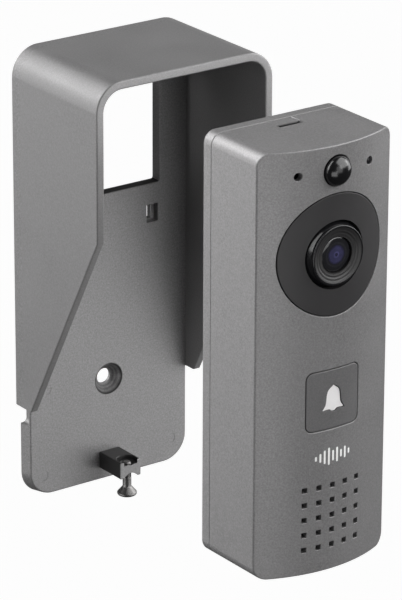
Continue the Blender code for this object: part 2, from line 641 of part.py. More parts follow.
def bell_button():
    cap = slab("button_cap", [rounded_rectangle(*BUTTON_SIZE, BUTTON_CORNER)], BUTTON_BACK, 45 * MM,
               centre=(0, BUTTON_HEIGHT), finish=BUTTON_GREY)
    stem = rod("button_stem", 2.2 * MM, 28.5 * MM, BUTTON_BACK + MM, (0, BUTTON_HEIGHT), steps=16)
    face = front_cylinder("button_face", 0)
    pocket = slab("icon_pocket", [bell_outline(GAP)], 33.6 * MM, 40 * MM, centre=(0, BUTTON_HEIGHT))
    shape(cap, ("trim", face), ("join", stem), ("cut", pocket))
    icon = slab("bell_icon", [bell_outline()], 33.9 * MM, 40 * MM, centre=(0, BUTTON_HEIGHT), finish=WHITE_PLASTIC)
    shape(icon, ("trim", face))


def button_switch():
    """The sealing sheet behind the button, and the push switch that its stem works."""
    centre = (0, BUTTON_HEIGHT)
    sheet = [rounded_rectangle(24 * MM, 24 * MM, 3 * MM, 3), circle(2.6 * MM, 16)]
    slab("button_membrane", sheet, 29 * MM, 30 * MM, centre=centre, finish=RUBBER)
    body = slab("tact_switch", [rounded_rectangle(6.2 * MM, 6.2 * MM, 0.6 * MM, 1)], BOARD_FRONT, 26 * MM,
                centre=centre, finish=BLACK_PLASTIC)
    shape(body, ("cut", rod("plunger_bore", 2 * MM, 23.8 * MM, 27 * MM, centre, steps=16)))
    rod("switch_plunger", 1.7 * MM, 24.9 * MM, 28.2 * MM, centre, finish=WHITE_PLASTIC, steps=16)


# ---------------------------------------------------------------- speaker

def speaker():
    place = (0, 0, GRILLE_HEIGHT)
    frame_profile = [(11.5 * MM, 29.1 * MM), (11.5 * MM, 27.6 * MM), (10.4 * MM, 24.6 * MM), (6.2 * MM, 24.6 * MM),
                     (6.2 * MM, 25.8 * MM), (9 * MM, 25.8 * MM), (10.1 * MM, 29.1 * MM)]
    turned("speaker_frame", frame_profile, place, BLACK_PLASTIC, steps=32, closed=True)
    cone = [(0, 27.9 * MM), (2.8 * MM, 27.2 * MM), (9 * MM, 28.8 * MM), (9 * MM, 28.3 * MM),
            (2.8 * MM, 26.6 * MM), (0, 27.2 * MM)]
    turned("speaker_cone", cone, place, PAPER, steps=32)
    magnet = [(0, 25.6 * MM), (5.8 * MM, 25.6 * MM), (5.8 * MM, 21.4 * MM), (5.3 * MM, 21 * MM), (0, 21 * MM)]
    turned("speaker_magnet", magnet, place, STEEL)
    seal = [(11.5 * MM, 30.3 * MM), (11.5 * MM, 29.4 * MM), (9.9 * MM, 29.4 * MM), (9.9 * MM, 30.3 * MM)]
    turned("speaker_seal", seal, place, RUBBER, steps=32, closed=True)
    rod("speaker_mesh", 11.2 * MM, 30.6 * MM, 30.9 * MM, (0, GRILLE_HEIGHT), finish=PAPER, steps=32)


# ---------------------------------------------------------------- electronics

def main_board():
    bottom = 33 * MM
    top = 118 * MM
    middle = (bottom + top) / 2
    loops = [rounded_rectangle(42 * MM, top - bottom, 1.5 * MM, 2)]
    for x, height in both_sides(*BOARD_POST):
        loops.append([(x + u, height - middle + v) for u, v in circle(1.5 * MM, 12)])
    slab("main_board", loops, BOARD, BOARD + BOARD_THICKNESS, centre=(0, middle), finish=BOARD_GREEN)


def board_parts():
    back = BOARD - GAP
    block("radio_shield", (-7.5 * MM, back - 2.1 * MM, 78 * MM), (7.5 * MM, back, 91 * MM), finish=STEEL)
    block("antenna_strip", (22.4 * MM, 11 * MM, 62 * MM), (23.2 * MM, 17 * MM, 100 * MM), finish=COPPER_FOIL)


def terminals():
    """The two-way terminal block that the supply wires reach through the bracket's window."""
    low = (-8 * MM, 0.6 * MM, 108 * MM)
    body = block("terminal_block", low, (8 * MM, 10 * MM, 117.6 * MM), finish=TERMINAL_GREEN)
    for side, x in enumerate((-4 * MM, 4 * MM)):
        centre = (x, 113.4 * MM)
        shape(body, ("cut", rod(f"terminal_bore_{side}", 2.8 * MM, 0, 6 * MM, centre, steps=16)))
        wire = block(f"wire_entry_{side}", (x - 1.4 * MM, 6.6 * MM, 107 * MM), (x + 1.4 * MM, 9 * MM, 112 * MM))
        shape(body, ("cut", wire))
        small_screw(f"terminal_screw_{side + 1}", centre, 0.9 * MM, 2.5 * MM, 1.5 * MM, 1.3 * MM, 4.6 * MM)


hood_bracket()
retaining_screw()
front_housing()
back_cover()
cover_gasket()
casing_screws()
threaded_insert()
camera_bezel()
camera_ring()
lens_stack()
camera_electronics()
pir_detector()
microphone()
light_sensor()
sensor_board()
bell_button()
button_switch()
speaker()
main_board()
board_parts()
terminals()
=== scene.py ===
import json
import math

import bmesh
import bpy
from mathutils import Matrix, Vector

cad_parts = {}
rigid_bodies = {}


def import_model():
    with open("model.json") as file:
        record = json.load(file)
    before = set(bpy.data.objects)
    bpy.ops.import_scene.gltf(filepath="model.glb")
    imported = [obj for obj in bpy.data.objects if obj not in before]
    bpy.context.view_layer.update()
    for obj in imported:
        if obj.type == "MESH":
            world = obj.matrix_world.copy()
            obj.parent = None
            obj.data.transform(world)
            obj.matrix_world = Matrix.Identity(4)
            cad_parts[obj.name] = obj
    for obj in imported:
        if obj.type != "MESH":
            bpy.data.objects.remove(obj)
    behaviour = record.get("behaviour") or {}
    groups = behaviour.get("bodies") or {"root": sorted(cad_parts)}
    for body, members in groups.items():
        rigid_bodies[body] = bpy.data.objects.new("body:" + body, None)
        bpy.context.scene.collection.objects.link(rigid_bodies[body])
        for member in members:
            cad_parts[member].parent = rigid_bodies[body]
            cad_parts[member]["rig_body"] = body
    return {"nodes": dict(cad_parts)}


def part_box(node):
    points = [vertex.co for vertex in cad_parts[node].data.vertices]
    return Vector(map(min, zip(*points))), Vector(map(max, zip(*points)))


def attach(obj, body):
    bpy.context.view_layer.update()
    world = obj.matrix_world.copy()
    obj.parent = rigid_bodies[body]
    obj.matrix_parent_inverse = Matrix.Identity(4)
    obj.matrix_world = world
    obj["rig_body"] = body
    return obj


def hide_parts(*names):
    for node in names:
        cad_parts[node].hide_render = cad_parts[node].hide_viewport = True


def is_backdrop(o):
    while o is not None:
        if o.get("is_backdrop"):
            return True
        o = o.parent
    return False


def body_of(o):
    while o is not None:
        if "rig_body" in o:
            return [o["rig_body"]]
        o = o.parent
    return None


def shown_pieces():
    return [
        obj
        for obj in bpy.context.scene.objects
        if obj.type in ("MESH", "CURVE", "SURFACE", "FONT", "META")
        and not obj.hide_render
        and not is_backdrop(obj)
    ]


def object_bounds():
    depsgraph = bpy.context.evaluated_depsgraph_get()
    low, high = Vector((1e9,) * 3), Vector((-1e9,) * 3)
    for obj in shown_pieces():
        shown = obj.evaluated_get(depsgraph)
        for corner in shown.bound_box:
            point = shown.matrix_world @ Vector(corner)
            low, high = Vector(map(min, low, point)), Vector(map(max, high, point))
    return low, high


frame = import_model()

CAD_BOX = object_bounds()
MM = 0.001
GAP = 0.3 * MM                       # clearance between pieces


# ---- places

class Place:
    """A moulding's own frame: depths run forward from its back plane, heights up from its bottom edge."""

    def __init__(self, back, bottom):
        self.back = back
        self.bottom = bottom

    def at(self, x, depth, height):
        return Vector((x, self.back - depth, self.bottom + height))

    def ring(self, outline, depth, further=0.0):
        """The outline at that depth, a number or a function of x, and so much further forward."""
        return [self.at(u, (depth(u) if callable(depth) else depth) + further, v) for u, v in outline]

    def depth(self, y):
        return self.back - y

    def height(self, z):
        return z - self.bottom


def middle(node):
    low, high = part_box(node)
    return (low + high) / 2


def size(node):
    low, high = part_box(node)
    return high - low


HOUSING_BACK = 2.5 * MM              # depth of the back ends of the housing's screw posts
SEAM_GAP = 0.12 * MM                 # what shows of the joint between cover and housing
SEAM = 4.2 * MM                      # depth of the cover's front edge
BRACKET = Place(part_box("hood_bracket")[1].y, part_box("hood_bracket")[0].z)
BELL = Place(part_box("front_housing")[1].y + HOUSING_BACK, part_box("front_housing")[0].z)

# Bracket
HOOD_WIDTH, HOOD_DEPTH, HOOD_HEIGHT = size("hood_bracket")
HOOD_CORNER = 10 * MM
HOOD_WALL = 2.9 * MM
HOOD_FOOT = 34 * MM
HOOD_FOOT_DEPTH = 9 * MM
HOOD_FRONT_FOOT = 106 * MM
PLATE_DEPTH = 4.2 * MM
PLATE_CORNER = 9 * MM
PLATE_BACK_WIDTH = 67 * MM           # the plate's rim is drafted
PLATE_FRONT_WIDTH = 64.6 * MM
RECESS_DEPTH = 2 * MM
RECESS_TOP = 97.5 * MM
RIM = 2.6 * MM                       # width left round the recess in the plate's back
WINDOW = (42.4 * MM, 103.5 * MM, 151 * MM)          # width, bottom and top
CABLE_NOTCH = (26.8 * MM, 33 * MM)   # bottom and top
WALL_HOLE_HEIGHT = 36.5 * MM
WALL_HOLE_RADIUS = 2.7 * MM
WALL_SINK_RADIUS = 5.3 * MM
HOOKS_X = (-18.2 * MM, 18.2 * MM)
HOOK_HEIGHT = 92.8 * MM
HOOK_POCKET = (4.6 * MM, 6.4 * MM, 2.4 * MM)        # width, height and depth
HOOK_SLIT = (1.5 * MM, 5 * MM)       # width and height
HOOK_HALF = 0.45 * MM                # half a hook's thickness
BOSS_WIDTH = 8.4 * MM
BOSS_BOTTOM = 4.4 * MM
BOSS_TOP = 10.4 * MM
BOSS_FRONT = 17.2 * MM
BOSS_BORE = 1.9 * MM
BOSS_UPPER_SINK = (3.6 * MM, 1.4 * MM)              # radius and depth
BOSS_LOWER_SINK = (3.85 * MM, 2.1 * MM)

# Doorbell
BELL_WIDTH = size("front_housing").x
BELL_HEIGHT = size("front_housing").z
BELL_CORNER = 4.2 * MM
BELL_WALL = 2.2 * MM
BELL_EDGE = 0.45 * MM
NOTCH_DROP = 0.2 * MM                # depth of the notch on top
SLOT_WIDTH = 9.4 * MM
SLOT = (8.8 * MM, 11.2 * MM)         # depths of the release slot's near and far sides
FRONT_RADIUS = 51.5 * MM
SCREW_HOLE = 1.75 * MM               # radius of the cover screws' holes, and of the posts' bores
PIR_RADIUS = 4.85 * MM               # of the motion dome where it leaves the front
FRONT_APEX = BELL.depth(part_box("front_housing")[0].y)
CAMERA = middle("camera_ring")
BUTTON = middle("button_cap")
PIR = middle("pir_lens")
MICROPHONE = middle("microphone")
LIGHT = middle("light_pipe")
SPEAKER = middle("speaker_mesh")
COVER_SCREWS = [f"cover_screw_{number}" for number in range(1, 5)]
BOARD_SCREWS = ["board_screw_1", "board_screw_2"]
TERMINAL_SCREWS = ["terminal_screw_1", "terminal_screw_2"]


def front(x):
    """Depth of the doorbell's curved front at that x."""
    return FRONT_APEX - FRONT_RADIUS + math.sqrt(FRONT_RADIUS ** 2 - x ** 2)


# ---- outlines

def quarter(turn, steps):
    """Unit vectors through that quarter of a full turn."""
    angles = [math.radians(90 * (turn + step / steps)) for step in range(steps + 1)]
    return [(math.cos(a), math.sin(a)) for a in angles]


def rounded(width, height, radius, corner_steps, across=1, centre=(0, 0)):
    """A rounded rectangle, counter-clockwise from its right side, with its upper and lower sides split."""
    half, top = width / 2 - radius, height / 2 - radius
    points = []
    for turn, (side, end) in enumerate(((1, 1), (-1, 1), (-1, -1), (1, -1))):
        points += [(side * half + radius * c, end * top + radius * s) for c, s in quarter(turn, corner_steps)]
        if turn in (0, 2):
            for step in range(1, across):
                points.append((side * half * (1 - 2 * step / across), end * height / 2))
    return [(centre[0] + u, centre[1] + v) for u, v in points]


def circle(radius, steps=64, centre=(0, 0)):
    """Points half a step off the axis, so that the upper and lower halves mirror each other."""
    angles = [2 * math.pi * (i + 0.5) / steps for i in range(steps)]
    return [(centre[0] + radius * math.cos(a), centre[1] + radius * math.sin(a)) for a in angles]


def grown(points, distance):
    """The outline moved outwards, each corner along its own bisector."""
    made = []
    for i, here in enumerate(points):
        before, after = Vector(points[i - 1]), Vector(points[(i + 1) % len(points)])
        here = Vector(here)
        a, b = (here - before).normalized(), (after - here).normalized()
        bisector = Vector((a.y + b.y, -a.x - b.x)).normalized()
        made.append(tuple(here + bisector * distance / max(bisector.dot(Vector((a.y, -a.x))), 0.5)))
    return made


def smooth_outline(points, steps):
    """A closed Catmull-Rom curve through the points."""
    made = []
    count = len(points)
    for i in range(count):
        p0, p1, p2, p3 = (Vector(points[(i + k) % count]) for k in (-1, 0, 1, 2))
        for step in range(steps):
            t = step / steps
            made.append(tuple(0.5 * ((2 * p1) + (p2 - p0) * t + (2 * p0 - 5 * p1 + 4 * p2 - p3) * t * t
                                     + (3 * p1 - p0 - 3 * p2 + p3) * t ** 3)))
    return made


# ---- meshes

def linked(name, mesh):
    obj = bpy.data.objects.new(name, mesh)
    bpy.context.scene.collection.objects.link(obj)
    return obj


def build(name, make):
    """An object whose mesh that function fills."""
    bm = bmesh.new()
    make(bm)
    bmesh.ops.remove_doubles(bm, verts=bm.verts, dist=1e-7)
    bmesh.ops.recalc_face_normals(bm, faces=bm.faces)
    mesh = bpy.data.meshes.new(name)
    bm.to_mesh(mesh)
    bm.free()
    return linked(name, mesh)


def add_rings(bm, rings, caps="flat", loop=False):
    """Rings of equally many points joined by quads. Caps: flat, none, or strips between mirrored points."""
    made = [[bm.verts.new(p) for p in ring] for ring in rings]
    count = len(made[0])
    pairs = list(zip(made, made[1:])) + ([(made[-1], made[0])] if loop else [])
    for low, high in pairs:
        for i in range(count):
            j = (i + 1) % count
            bm.faces.new((low[i], low[j], high[j], high[i]))
    if caps == "none" or loop:
        return
    bm.faces.new(made[0])
    if caps == "flat":
        bm.faces.new(made[-1])
        return
    last = made[-1]
    for i in range(count // 2 - 1):
        bm.faces.new((last[i], last[i + 1], last[count - 2 - i], last[count - 1 - i]))


def loft(name, rings, caps="flat", loop=False):
    return build(name, lambda bm: add_rings(bm, rings, caps, loop))


def turned(name, profile, centre, steps=96, caps="flat", loop=False, place=BELL):
    """A body turned about an axis that runs front to back, from pairs of radius and depth."""
    height = place.height(centre.z)
    rings = [[place.at(centre.x + u, depth, height + v) for u, v in circle(radius, steps)]
             for radius, depth in profile]
    return loft(name, rings, caps, loop)


def prism(name, outline, near, far, place=BELL):
    """A straight prism between two depths."""
    return loft(name, [place.ring(outline, near), place.ring(outline, far)])


def side_prism(name, outline, x, half):
    """A prism on the doorbell from an outline of depths and heights, as far to either side of that x."""
    return loft(name, [[BELL.at(u, depth, v) for depth, v in outline] for u in (x - half, x + half)])


def box(name, place, low, high):
    """A box between two corners, each given as x, depth and height."""
    ring = [(low[0], low[2]), (high[0], low[2]), (high[0], high[2]), (low[0], high[2])]
    return prism(name, ring, low[1], high[1], place)


def round_edge(edge, steps=3):
    """Inset and drop along a quarter round, from the side wall to the face."""
    return [(edge * (1 - c), edge * (1 - s)) for c, s in quarter(0, steps)]


def domed(name, outline, back, edge, back_edge=0.0):
    """A prism on the doorbell whose face follows its front: outline is a function of the inset."""
    behind = reversed(round_edge(back_edge, 2)) if back_edge else [(0, 0)]
    rings = [BELL.ring(outline(inset), back + rise) for inset, rise in behind]
    rings += [BELL.ring(outline(inset), front, -drop) for inset, drop in round_edge(edge)]
    return loft(name, rings, caps="strips")


def well(bm, outline, bottom, chamfer=0.15 * MM, surface=front, place=BELL):
    """A cutter for a hole through a face, flared where it breaks out."""
    wide = grown(outline, 2 * chamfer)
    add_rings(bm, [place.ring(outline, bottom), place.ring(outline, surface, -chamfer),
                   place.ring(wide, surface, chamfer), place.ring(wide, FRONT_APEX + 5 * MM)])


def carve(obj, *tools, kind="DIFFERENCE"):
    """The object after those tools, which are used up."""
    for tool in tools:
        step = obj.modifiers.new(tool.name, "BOOLEAN")
        step.operation = kind
        step.object = tool
        step.solver = "EXACT"
    graph = bpy.context.evaluated_depsgraph_get()
    mesh = bpy.data.meshes.new_from_object(obj.evaluated_get(graph))
    obj.modifiers.clear()
    obj.data = mesh
    for tool in tools:
        bpy.data.objects.remove(tool)
    return obj


def join(obj, *tools):
    return carve(obj, *tools, kind="UNION")


def shade(obj):
    """Smooth shading that keeps flat faces flat, with exact normals on the doorbell's curved front."""
    obj.data.shade_smooth()
    obj.data.set_sharp_from_angle(angle=math.radians(32))
    weighted = obj.modifiers.new("Normals", "WEIGHTED_NORMAL")
    weighted.keep_sharp = True
    carve(obj)
    mesh = obj.data
    near = 0.004 * MM
    on_front = [abs(v.co.x) < BELL_WIDTH / 2 and abs(BELL.depth(v.co.y) - front(v.co.x)) < near
                for v in mesh.vertices]
    if sum(on_front) < 8:
        return
    normals = [Vector(corner.vector) for corner in mesh.corner_normals]
    for polygon in mesh.polygons:
        if all(on_front[i] for i in polygon.vertices) and polygon.normal.y < -0.5:
            for loop in polygon.loop_indices:
                x = mesh.vertices[mesh.loops[loop].vertex_index].co.x
                normals[loop] = Vector((x, -math.sqrt(FRONT_RADIUS ** 2 - x ** 2), 0)).normalized()
    mesh.normals_split_custom_set(normals)


def shown(obj, finish, body, slot, *nodes):
    """Shades the piece, gives it its material and body, and lets it stand for those CAD nodes."""
    shade(obj)
    obj.data.materials.clear()
    obj.data.materials.append(finish)
    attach(obj, body)
    if nodes:
        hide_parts(*nodes)


# ---- materials

class Nodes:
    """A small helper around one material's node tree."""

    def __init__(self, name, **values):
        self.material = bpy.data.materials.new(name)
        self.material.use_nodes = True
        self.tree = self.material.node_tree
        self.shader = self.tree.nodes["Principled BSDF"]
        for socket, value in values.items():
            self.shader.inputs[socket.replace("_", " ")].default_value = value
        self.object_space = self.tree.nodes.new("ShaderNodeTexCoord").outputs["Object"]

    def node(self, kind, inputs, **settings):
        """A node with those settings and with those values on its sockets."""
        made = self.tree.nodes.new(kind)
        for key, value in settings.items():
            setattr(made, key, value)
        for socket, value in inputs.items():
            made.inputs[socket].default_value = value
        return made

    def link(self, source, target):
        self.tree.links.new(source, target)
        return target

    def noise(self, scale, detail=3.0, roughness=0.5, stretch=None):
        made = self.node("ShaderNodeTexNoise", {"Scale": scale, "Detail": detail, "Roughness": roughness})
        space = self.mapped({"Scale": stretch}) if stretch else self.object_space
        self.link(space, made.inputs["Vector"])
        return made.outputs["Fac"]

    def mapped(self, inputs):
        """The object's own space, stretched or turned."""
        made = self.node("ShaderNodeMapping", inputs)
        self.link(self.object_space, made.inputs["Vector"])
        return made.outputs["Vector"]

    def ramp(self, factor, *stops):
        made = self.node("ShaderNodeValToRGB", {})
        elements = made.color_ramp.elements
        while len(elements) < len(stops):
            elements.new(0.5)
        for element, (position, colour) in zip(elements, stops):
            element.position = position
            element.color = (*colour, 1)
        self.link(factor, made.inputs["Fac"])
        return made.outputs["Color"]

    def tints(self, factor, colour, *stops):
        """A ramp between tints of one colour, from pairs of position and brightness."""
        return self.ramp(factor, *((position, tinted(colour, share)) for position, share in stops))

    def range(self, factor, low, high, start=0.0, end=1.0):
        made = self.node("ShaderNodeMapRange", {"From Min": start, "From Max": end,
                                                "To Min": low, "To Max": high})
        self.link(factor, made.inputs["Value"])
        return made.outputs["Result"]

    def radius(self, centre):
        """Distance from the axis that runs front to back through that centre."""
        offset = self.node("ShaderNodeVectorMath", {1: centre}, operation="SUBTRACT")
        self.link(self.object_space, offset.inputs[0])
        flat = self.node("ShaderNodeVectorMath", {1: (1, 0, 1)}, operation="MULTIPLY")
        self.link(offset.outputs["Vector"], flat.inputs[0])
        length = self.node("ShaderNodeVectorMath", {}, operation="LENGTH")
        self.link(flat.outputs["Vector"], length.inputs[0])
        return length.outputs["Value"]

    def inside(self, low, high):
        """1 in the box between those corners, falling to 0 just outside it."""
        soft = 0.15 * MM
        axes = self.node("ShaderNodeSeparateXYZ", {})
        self.link(self.object_space, axes.inputs[0])
        share = None
        for axis, start, end in zip(axes.outputs, low, high):
            for edge, outside in ((start, start - soft), (end, end + soft)):
                step = self.range(axis, 0, 1, outside, edge)
                share = self.product(share, step) if share else step
        return share

    def product(self, first, second):
        made = self.node("ShaderNodeMath", {}, operation="MULTIPLY")
        self.link(first, made.inputs[0])
        self.link(second, made.inputs[1])
        return made.outputs[0]

    def mixed(self, factor, first, second, blend="MIX"):
        made = self.node("ShaderNodeMix", {}, data_type="RGBA", blend_type=blend)
        if isinstance(factor, float):
            made.inputs["Factor"].default_value = factor
        else:
            self.link(factor, made.inputs["Factor"])
        for key, value in (("A", first), ("B", second)):
            socket = next(s for s in made.inputs if s.name == key and s.type == "RGBA")
            if isinstance(value, tuple):
                socket.default_value = (*value, 1)
            else:
                self.link(value, socket)
        return next(s for s in made.outputs if s.type == "RGBA")

    def bump(self, height, strength, distance):
        made = self.node("ShaderNodeBump", {"Strength": strength, "Distance": distance})
        self.link(height, made.inputs["Height"])
        return made.outputs["Normal"]

    def colour(self, output):
        self.link(output, self.shader.inputs["Base Color"])

    def roughness(self, output):
        self.link(output, self.shader.inputs["Roughness"])

    def normal(self, output):
        self.link(output, self.shader.inputs["Normal"])


def tinted(colour, factor):
    return tuple(min(1.0, c * factor) for c in colour)


def painted_plastic(name, colour, metallic, roughness, grain=1.0):
    """Satin metallic moulding: fine flakes, soft cloudiness and a fine pebble."""
    made = Nodes(name, Metallic=metallic, Specular_IOR_Level=0.45)
    flakes = made.noise(1900, 3, 0.7)
    cloud = made.noise(55, 4, 0.55)
    base = made.tints(flakes, colour, (0.3, 1 - 0.16 * grain), (0.5, 1), (0.72, 1 + 0.2 * grain))
    cloudy = made.mixed(made.range(cloud, 0, 0.35, 0.35, 0.75), base, tinted(colour, 1.12))
    made.colour(cloudy)
    made.roughness(made.range(cloud, roughness - 0.03, roughness + 0.05, 0.3, 0.7))
    made.normal(made.bump(made.noise(2600, 2), 0.22 * grain, 0.05 * MM))
    return made


def painted_shade_boxes():
    """Where the bracket gets painted shade: the boss's sides, the window's sill and round the hook slits."""
    width, sill, _ = WINDOW
    boxes = [(BRACKET.at(-BOSS_WIDTH, BOSS_FRONT - 0.4 * MM, BOSS_BOTTOM - MM),
              BRACKET.at(BOSS_WIDTH, PLATE_DEPTH + 0.3 * MM, BOSS_TOP + MM)),
             (BRACKET.at(-width / 2, PLATE_DEPTH - 0.4 * MM, sill - 0.2 * MM),
              BRACKET.at(width / 2, -MM, sill + 0.2 * MM))]
    across, up = HOOK_SLIT
    floor = PLATE_DEPTH - HOOK_POCKET[2]
    for x in HOOKS_X:
        boxes.append((BRACKET.at(x - across, floor - 0.2 * MM, HOOK_HEIGHT - up),
                      BRACKET.at(x + across, -MM, HOOK_HEIGHT + up)))
    return boxes


def bracket_plastic(name, colour):
    """The painted plastic, mottled on the plate, with painted shade on the boss's sides, the window's sill
    and round the hook slits, and painted highlight and shade rings in the wall hole's countersink.
    """
    made = painted_plastic(name, colour, 0.35, 0.42)
    paint = made.shader.inputs["Base Color"].links[0].from_socket
    mottle = made.ramp(made.noise(1700, 3, 0.65), (0.35, (0.84, 0.84, 0.84)), (0.65, (1.14, 1.14, 1.14)))
    on_plate = made.inside(BRACKET.at(-HOOD_WIDTH, PLATE_DEPTH + 0.2 * MM, -MM),
                           BRACKET.at(HOOD_WIDTH, MM, HOOD_HEIGHT))
    paint = made.mixed(on_plate, paint, made.mixed(1.0, paint, mottle, "MULTIPLY"))
    # Painted shade: a much darker colour inside these boxes.
    for low, high in painted_shade_boxes():
        paint = made.mixed(made.inside(low, high), paint, tinted(colour, 0.15))
    # Painted highlight and painted shade: light and dark rings round the wall hole, darkest at its lip.
    reach = WALL_SINK_RADIUS + 0.6 * MM
    away = made.range(made.radius(BRACKET.at(0, PLATE_DEPTH, WALL_HOLE_HEIGHT)), 0, 1, 0, reach)
    countersink_highlight_and_shade = made.tints(away, (1, 1, 1), (0, 1), (0.5, 0.9), (0.58, 0.45), (0.66, 0.95), (0.72, 0.5),
                             (0.8, 1), (0.86, 0.5), (0.9, 0.1), (0.94, 0.12), (0.98, 1))
    made.colour(made.mixed(1.0, paint, countersink_highlight_and_shade, "MULTIPLY"))
    return made


def speckled(name, colour, tint, rough, relief=None, **values):
    """A material whose colour, roughness and relief each follow a noise of their own."""
    made = Nodes(name, **values)
    noise, *stops = tint
    made.colour(made.tints(made.noise(*noise), colour, *stops))
    noise, *limits = rough
    made.roughness(made.range(made.noise(*noise), *limits))
    if relief:
        noise, strength, distance = relief
        made.normal(made.bump(made.noise(*noise), strength, distance))
    return made.material


def moulded_plastic(name, colour, roughness, pebble=1500, depth=0.15):
    """Matt or satin plastic with the fine pebble of its mould."""
    return speckled(name, colour, ((70,), (0.3, 0.88), (0.7, 1.12)),
                    ((260,), roughness - 0.04, roughness + 0.05), ((pebble, 2), depth, 0.04 * MM),
                    Specular_IOR_Level=0.5)


def gloss_plastic(name, colour, roughness):
    """Polished black: nearly mirror smooth, with a trace of dust and flow marks."""
    return speckled(name, colour, ((900, 4, 0.7), (0.35, 1), (0.9, 1.6)),
                    ((120,), roughness, roughness + 0.05, 0.35, 0.8), ((160, 1), 0.04, 0.03 * MM),
                    Specular_IOR_Level=0.7)


def bare_metal(name, colour, roughness, stretch, scratches=700):
    """Turned or drawn metal: fine scratches along one direction and slight staining."""
    lines = (scratches, 3, 0.6, stretch)
    return speckled(name, colour, ((180,), (0.3, 0.82), (0.65, 1)),
                    (lines, roughness - 0.06, roughness + 0.12, 0.3, 0.7), (lines, 0.12, 0.03 * MM),
                    Metallic=1.0)


def rubber_finish(name, colour):
    return speckled(name, colour, ((240, 4), (0.3, 1), (0.8, 1.7)), ((500,), 0.6, 0.82),
                    ((1800,), 0.25, 0.05 * MM), Specular_IOR_Level=0.3, Sheen_Weight=0.15)


def clear_glass(name, colour, transmission, roughness):
    return speckled(name, colour, ((300, 2), (0.3, 1), (0.8, 0.93)),
                    ((700, 2), roughness, roughness + 0.03, 0.4, 0.9),
                    Transmission_Weight=transmission, IOR=1.49, Coat_Weight=0.5, Coat_Roughness=0.02)


def circuit_board(name, mask, copper):
    """Solder mask over copper tracks, which run in short straight stretches."""
    made = Nodes(name, Specular_IOR_Level=0.5)
    tracks = made.node("ShaderNodeTexBrick", {
        "Scale": 210, "Mortar Size": 0.035, "Mortar": (*copper, 1), "Color1": (*mask, 1),
        "Color2": (*tinted(mask, 0.75), 1)}, offset=0.5, squash=1.0)
    made.link(made.mapped({"Rotation": (math.pi / 2, 0, 0)}), tracks.inputs["Vector"])
    made.colour(made.mixed(made.range(made.noise(90), 0, 0.4), tracks.outputs["Color"], mask))
    made.roughness(made.range(tracks.outputs["Fac"], 0.32, 0.45))
    made.normal(made.bump(tracks.outputs["Fac"], 0.3, 0.05 * MM))
    return made.material


def collar_plastic(name, wall, dish, radius):
    """Polished round its side wall, and satin in the dish round the lens."""
    made = Nodes(name, Specular_IOR_Level=0.5)
    outside = made.range(made.radius(CAMERA), 0, 1, radius, radius + 0.2 * MM)
    dusty = made.tints(made.noise(900, 4, 0.7), dish, (0.3, 0.85), (0.8, 1.2))
    made.colour(made.mixed(outside, dusty, wall))
    made.roughness(made.range(outside, 0.42, 0.2))
    made.normal(made.bump(made.noise(1500, 2), 0.06, 0.03 * MM))
    return made.material


def coated_lens(name, rim, heart, radius):
    """Opaque coated glass, violet in the middle, with painted reflections as pale rings round its iris and
    painted shade near black at the rim.
    """
    made = Nodes(name, Coat_Weight=1.0, Coat_Roughness=0.02, Specular_IOR_Level=0.5)
    away = made.range(made.radius(CAMERA), 0, 1, 0, radius)
    # The bright bands are painted reflections, and the dark rim is painted shade.
    colour_and_reflection_bands = ((0, heart, 0.5), (0.1, heart, 0.6), (0.17, heart, 2.2), (0.26, heart, 0.9), (0.5, heart, 1),
             (0.62, heart, 0.55), (0.7, rim, 1), (0.82, rim, 2.2), (0.88, rim, 1))
    lens_reflection_ramp = made.ramp(away, *((position, tinted(colour, share)) for position, colour, share in colour_and_reflection_bands))
    made.colour(made.mixed(made.range(made.noise(450), 0, 0.5, 0.35, 0.8), lens_reflection_ramp, rim))
    made.roughness(made.range(away, 0.04, 0.12))
    return made.material


def woven_mesh(name, colour):
    made = Nodes(name, Specular_IOR_Level=0.3)
    weave = made.node("ShaderNodeTexChecker", {"Scale": 2600, "Color1": (*colour, 1),
                                               "Color2": (*tinted(colour, 0.35), 1)})
    made.link(made.object_space, weave.inputs["Vector"])
    made.colour(weave.outputs["Color"])
    made.roughness(made.range(made.noise(900, 2), 0.7, 0.9))
    made.normal(made.bump(weave.outputs["Fac"], 0.5, 0.1 * MM))
    return made.material


GREY = painted_plastic("satin_grey_plastic", (0.205, 0.202, 0.204), 0.35, 0.4, 1.5).material
# The same grey plastic as the doorbell's, made lighter as painted light for the brighter light on the
# bracket.
BRACKET_GREY = bracket_plastic("bracket_grey_plastic", (0.242, 0.239, 0.241)).material
BUTTON_GREY = painted_plastic("button_grey_plastic", (0.135, 0.133, 0.135), 0.3, 0.45).material
BLACK = moulded_plastic("matte_charcoal_plastic", (0.021, 0.02, 0.021), 0.45, 2200, 0.1)
DARK = moulded_plastic("black_inner_plastic", (0.02, 0.02, 0.021), 0.5)
GLOSS = gloss_plastic("gloss_black_plastic", (0.004, 0.004, 0.0045), 0.17)
COLLAR = collar_plastic("collar_plastic", (0.008, 0.008, 0.009), (0.016, 0.0155, 0.016), 9 * MM)
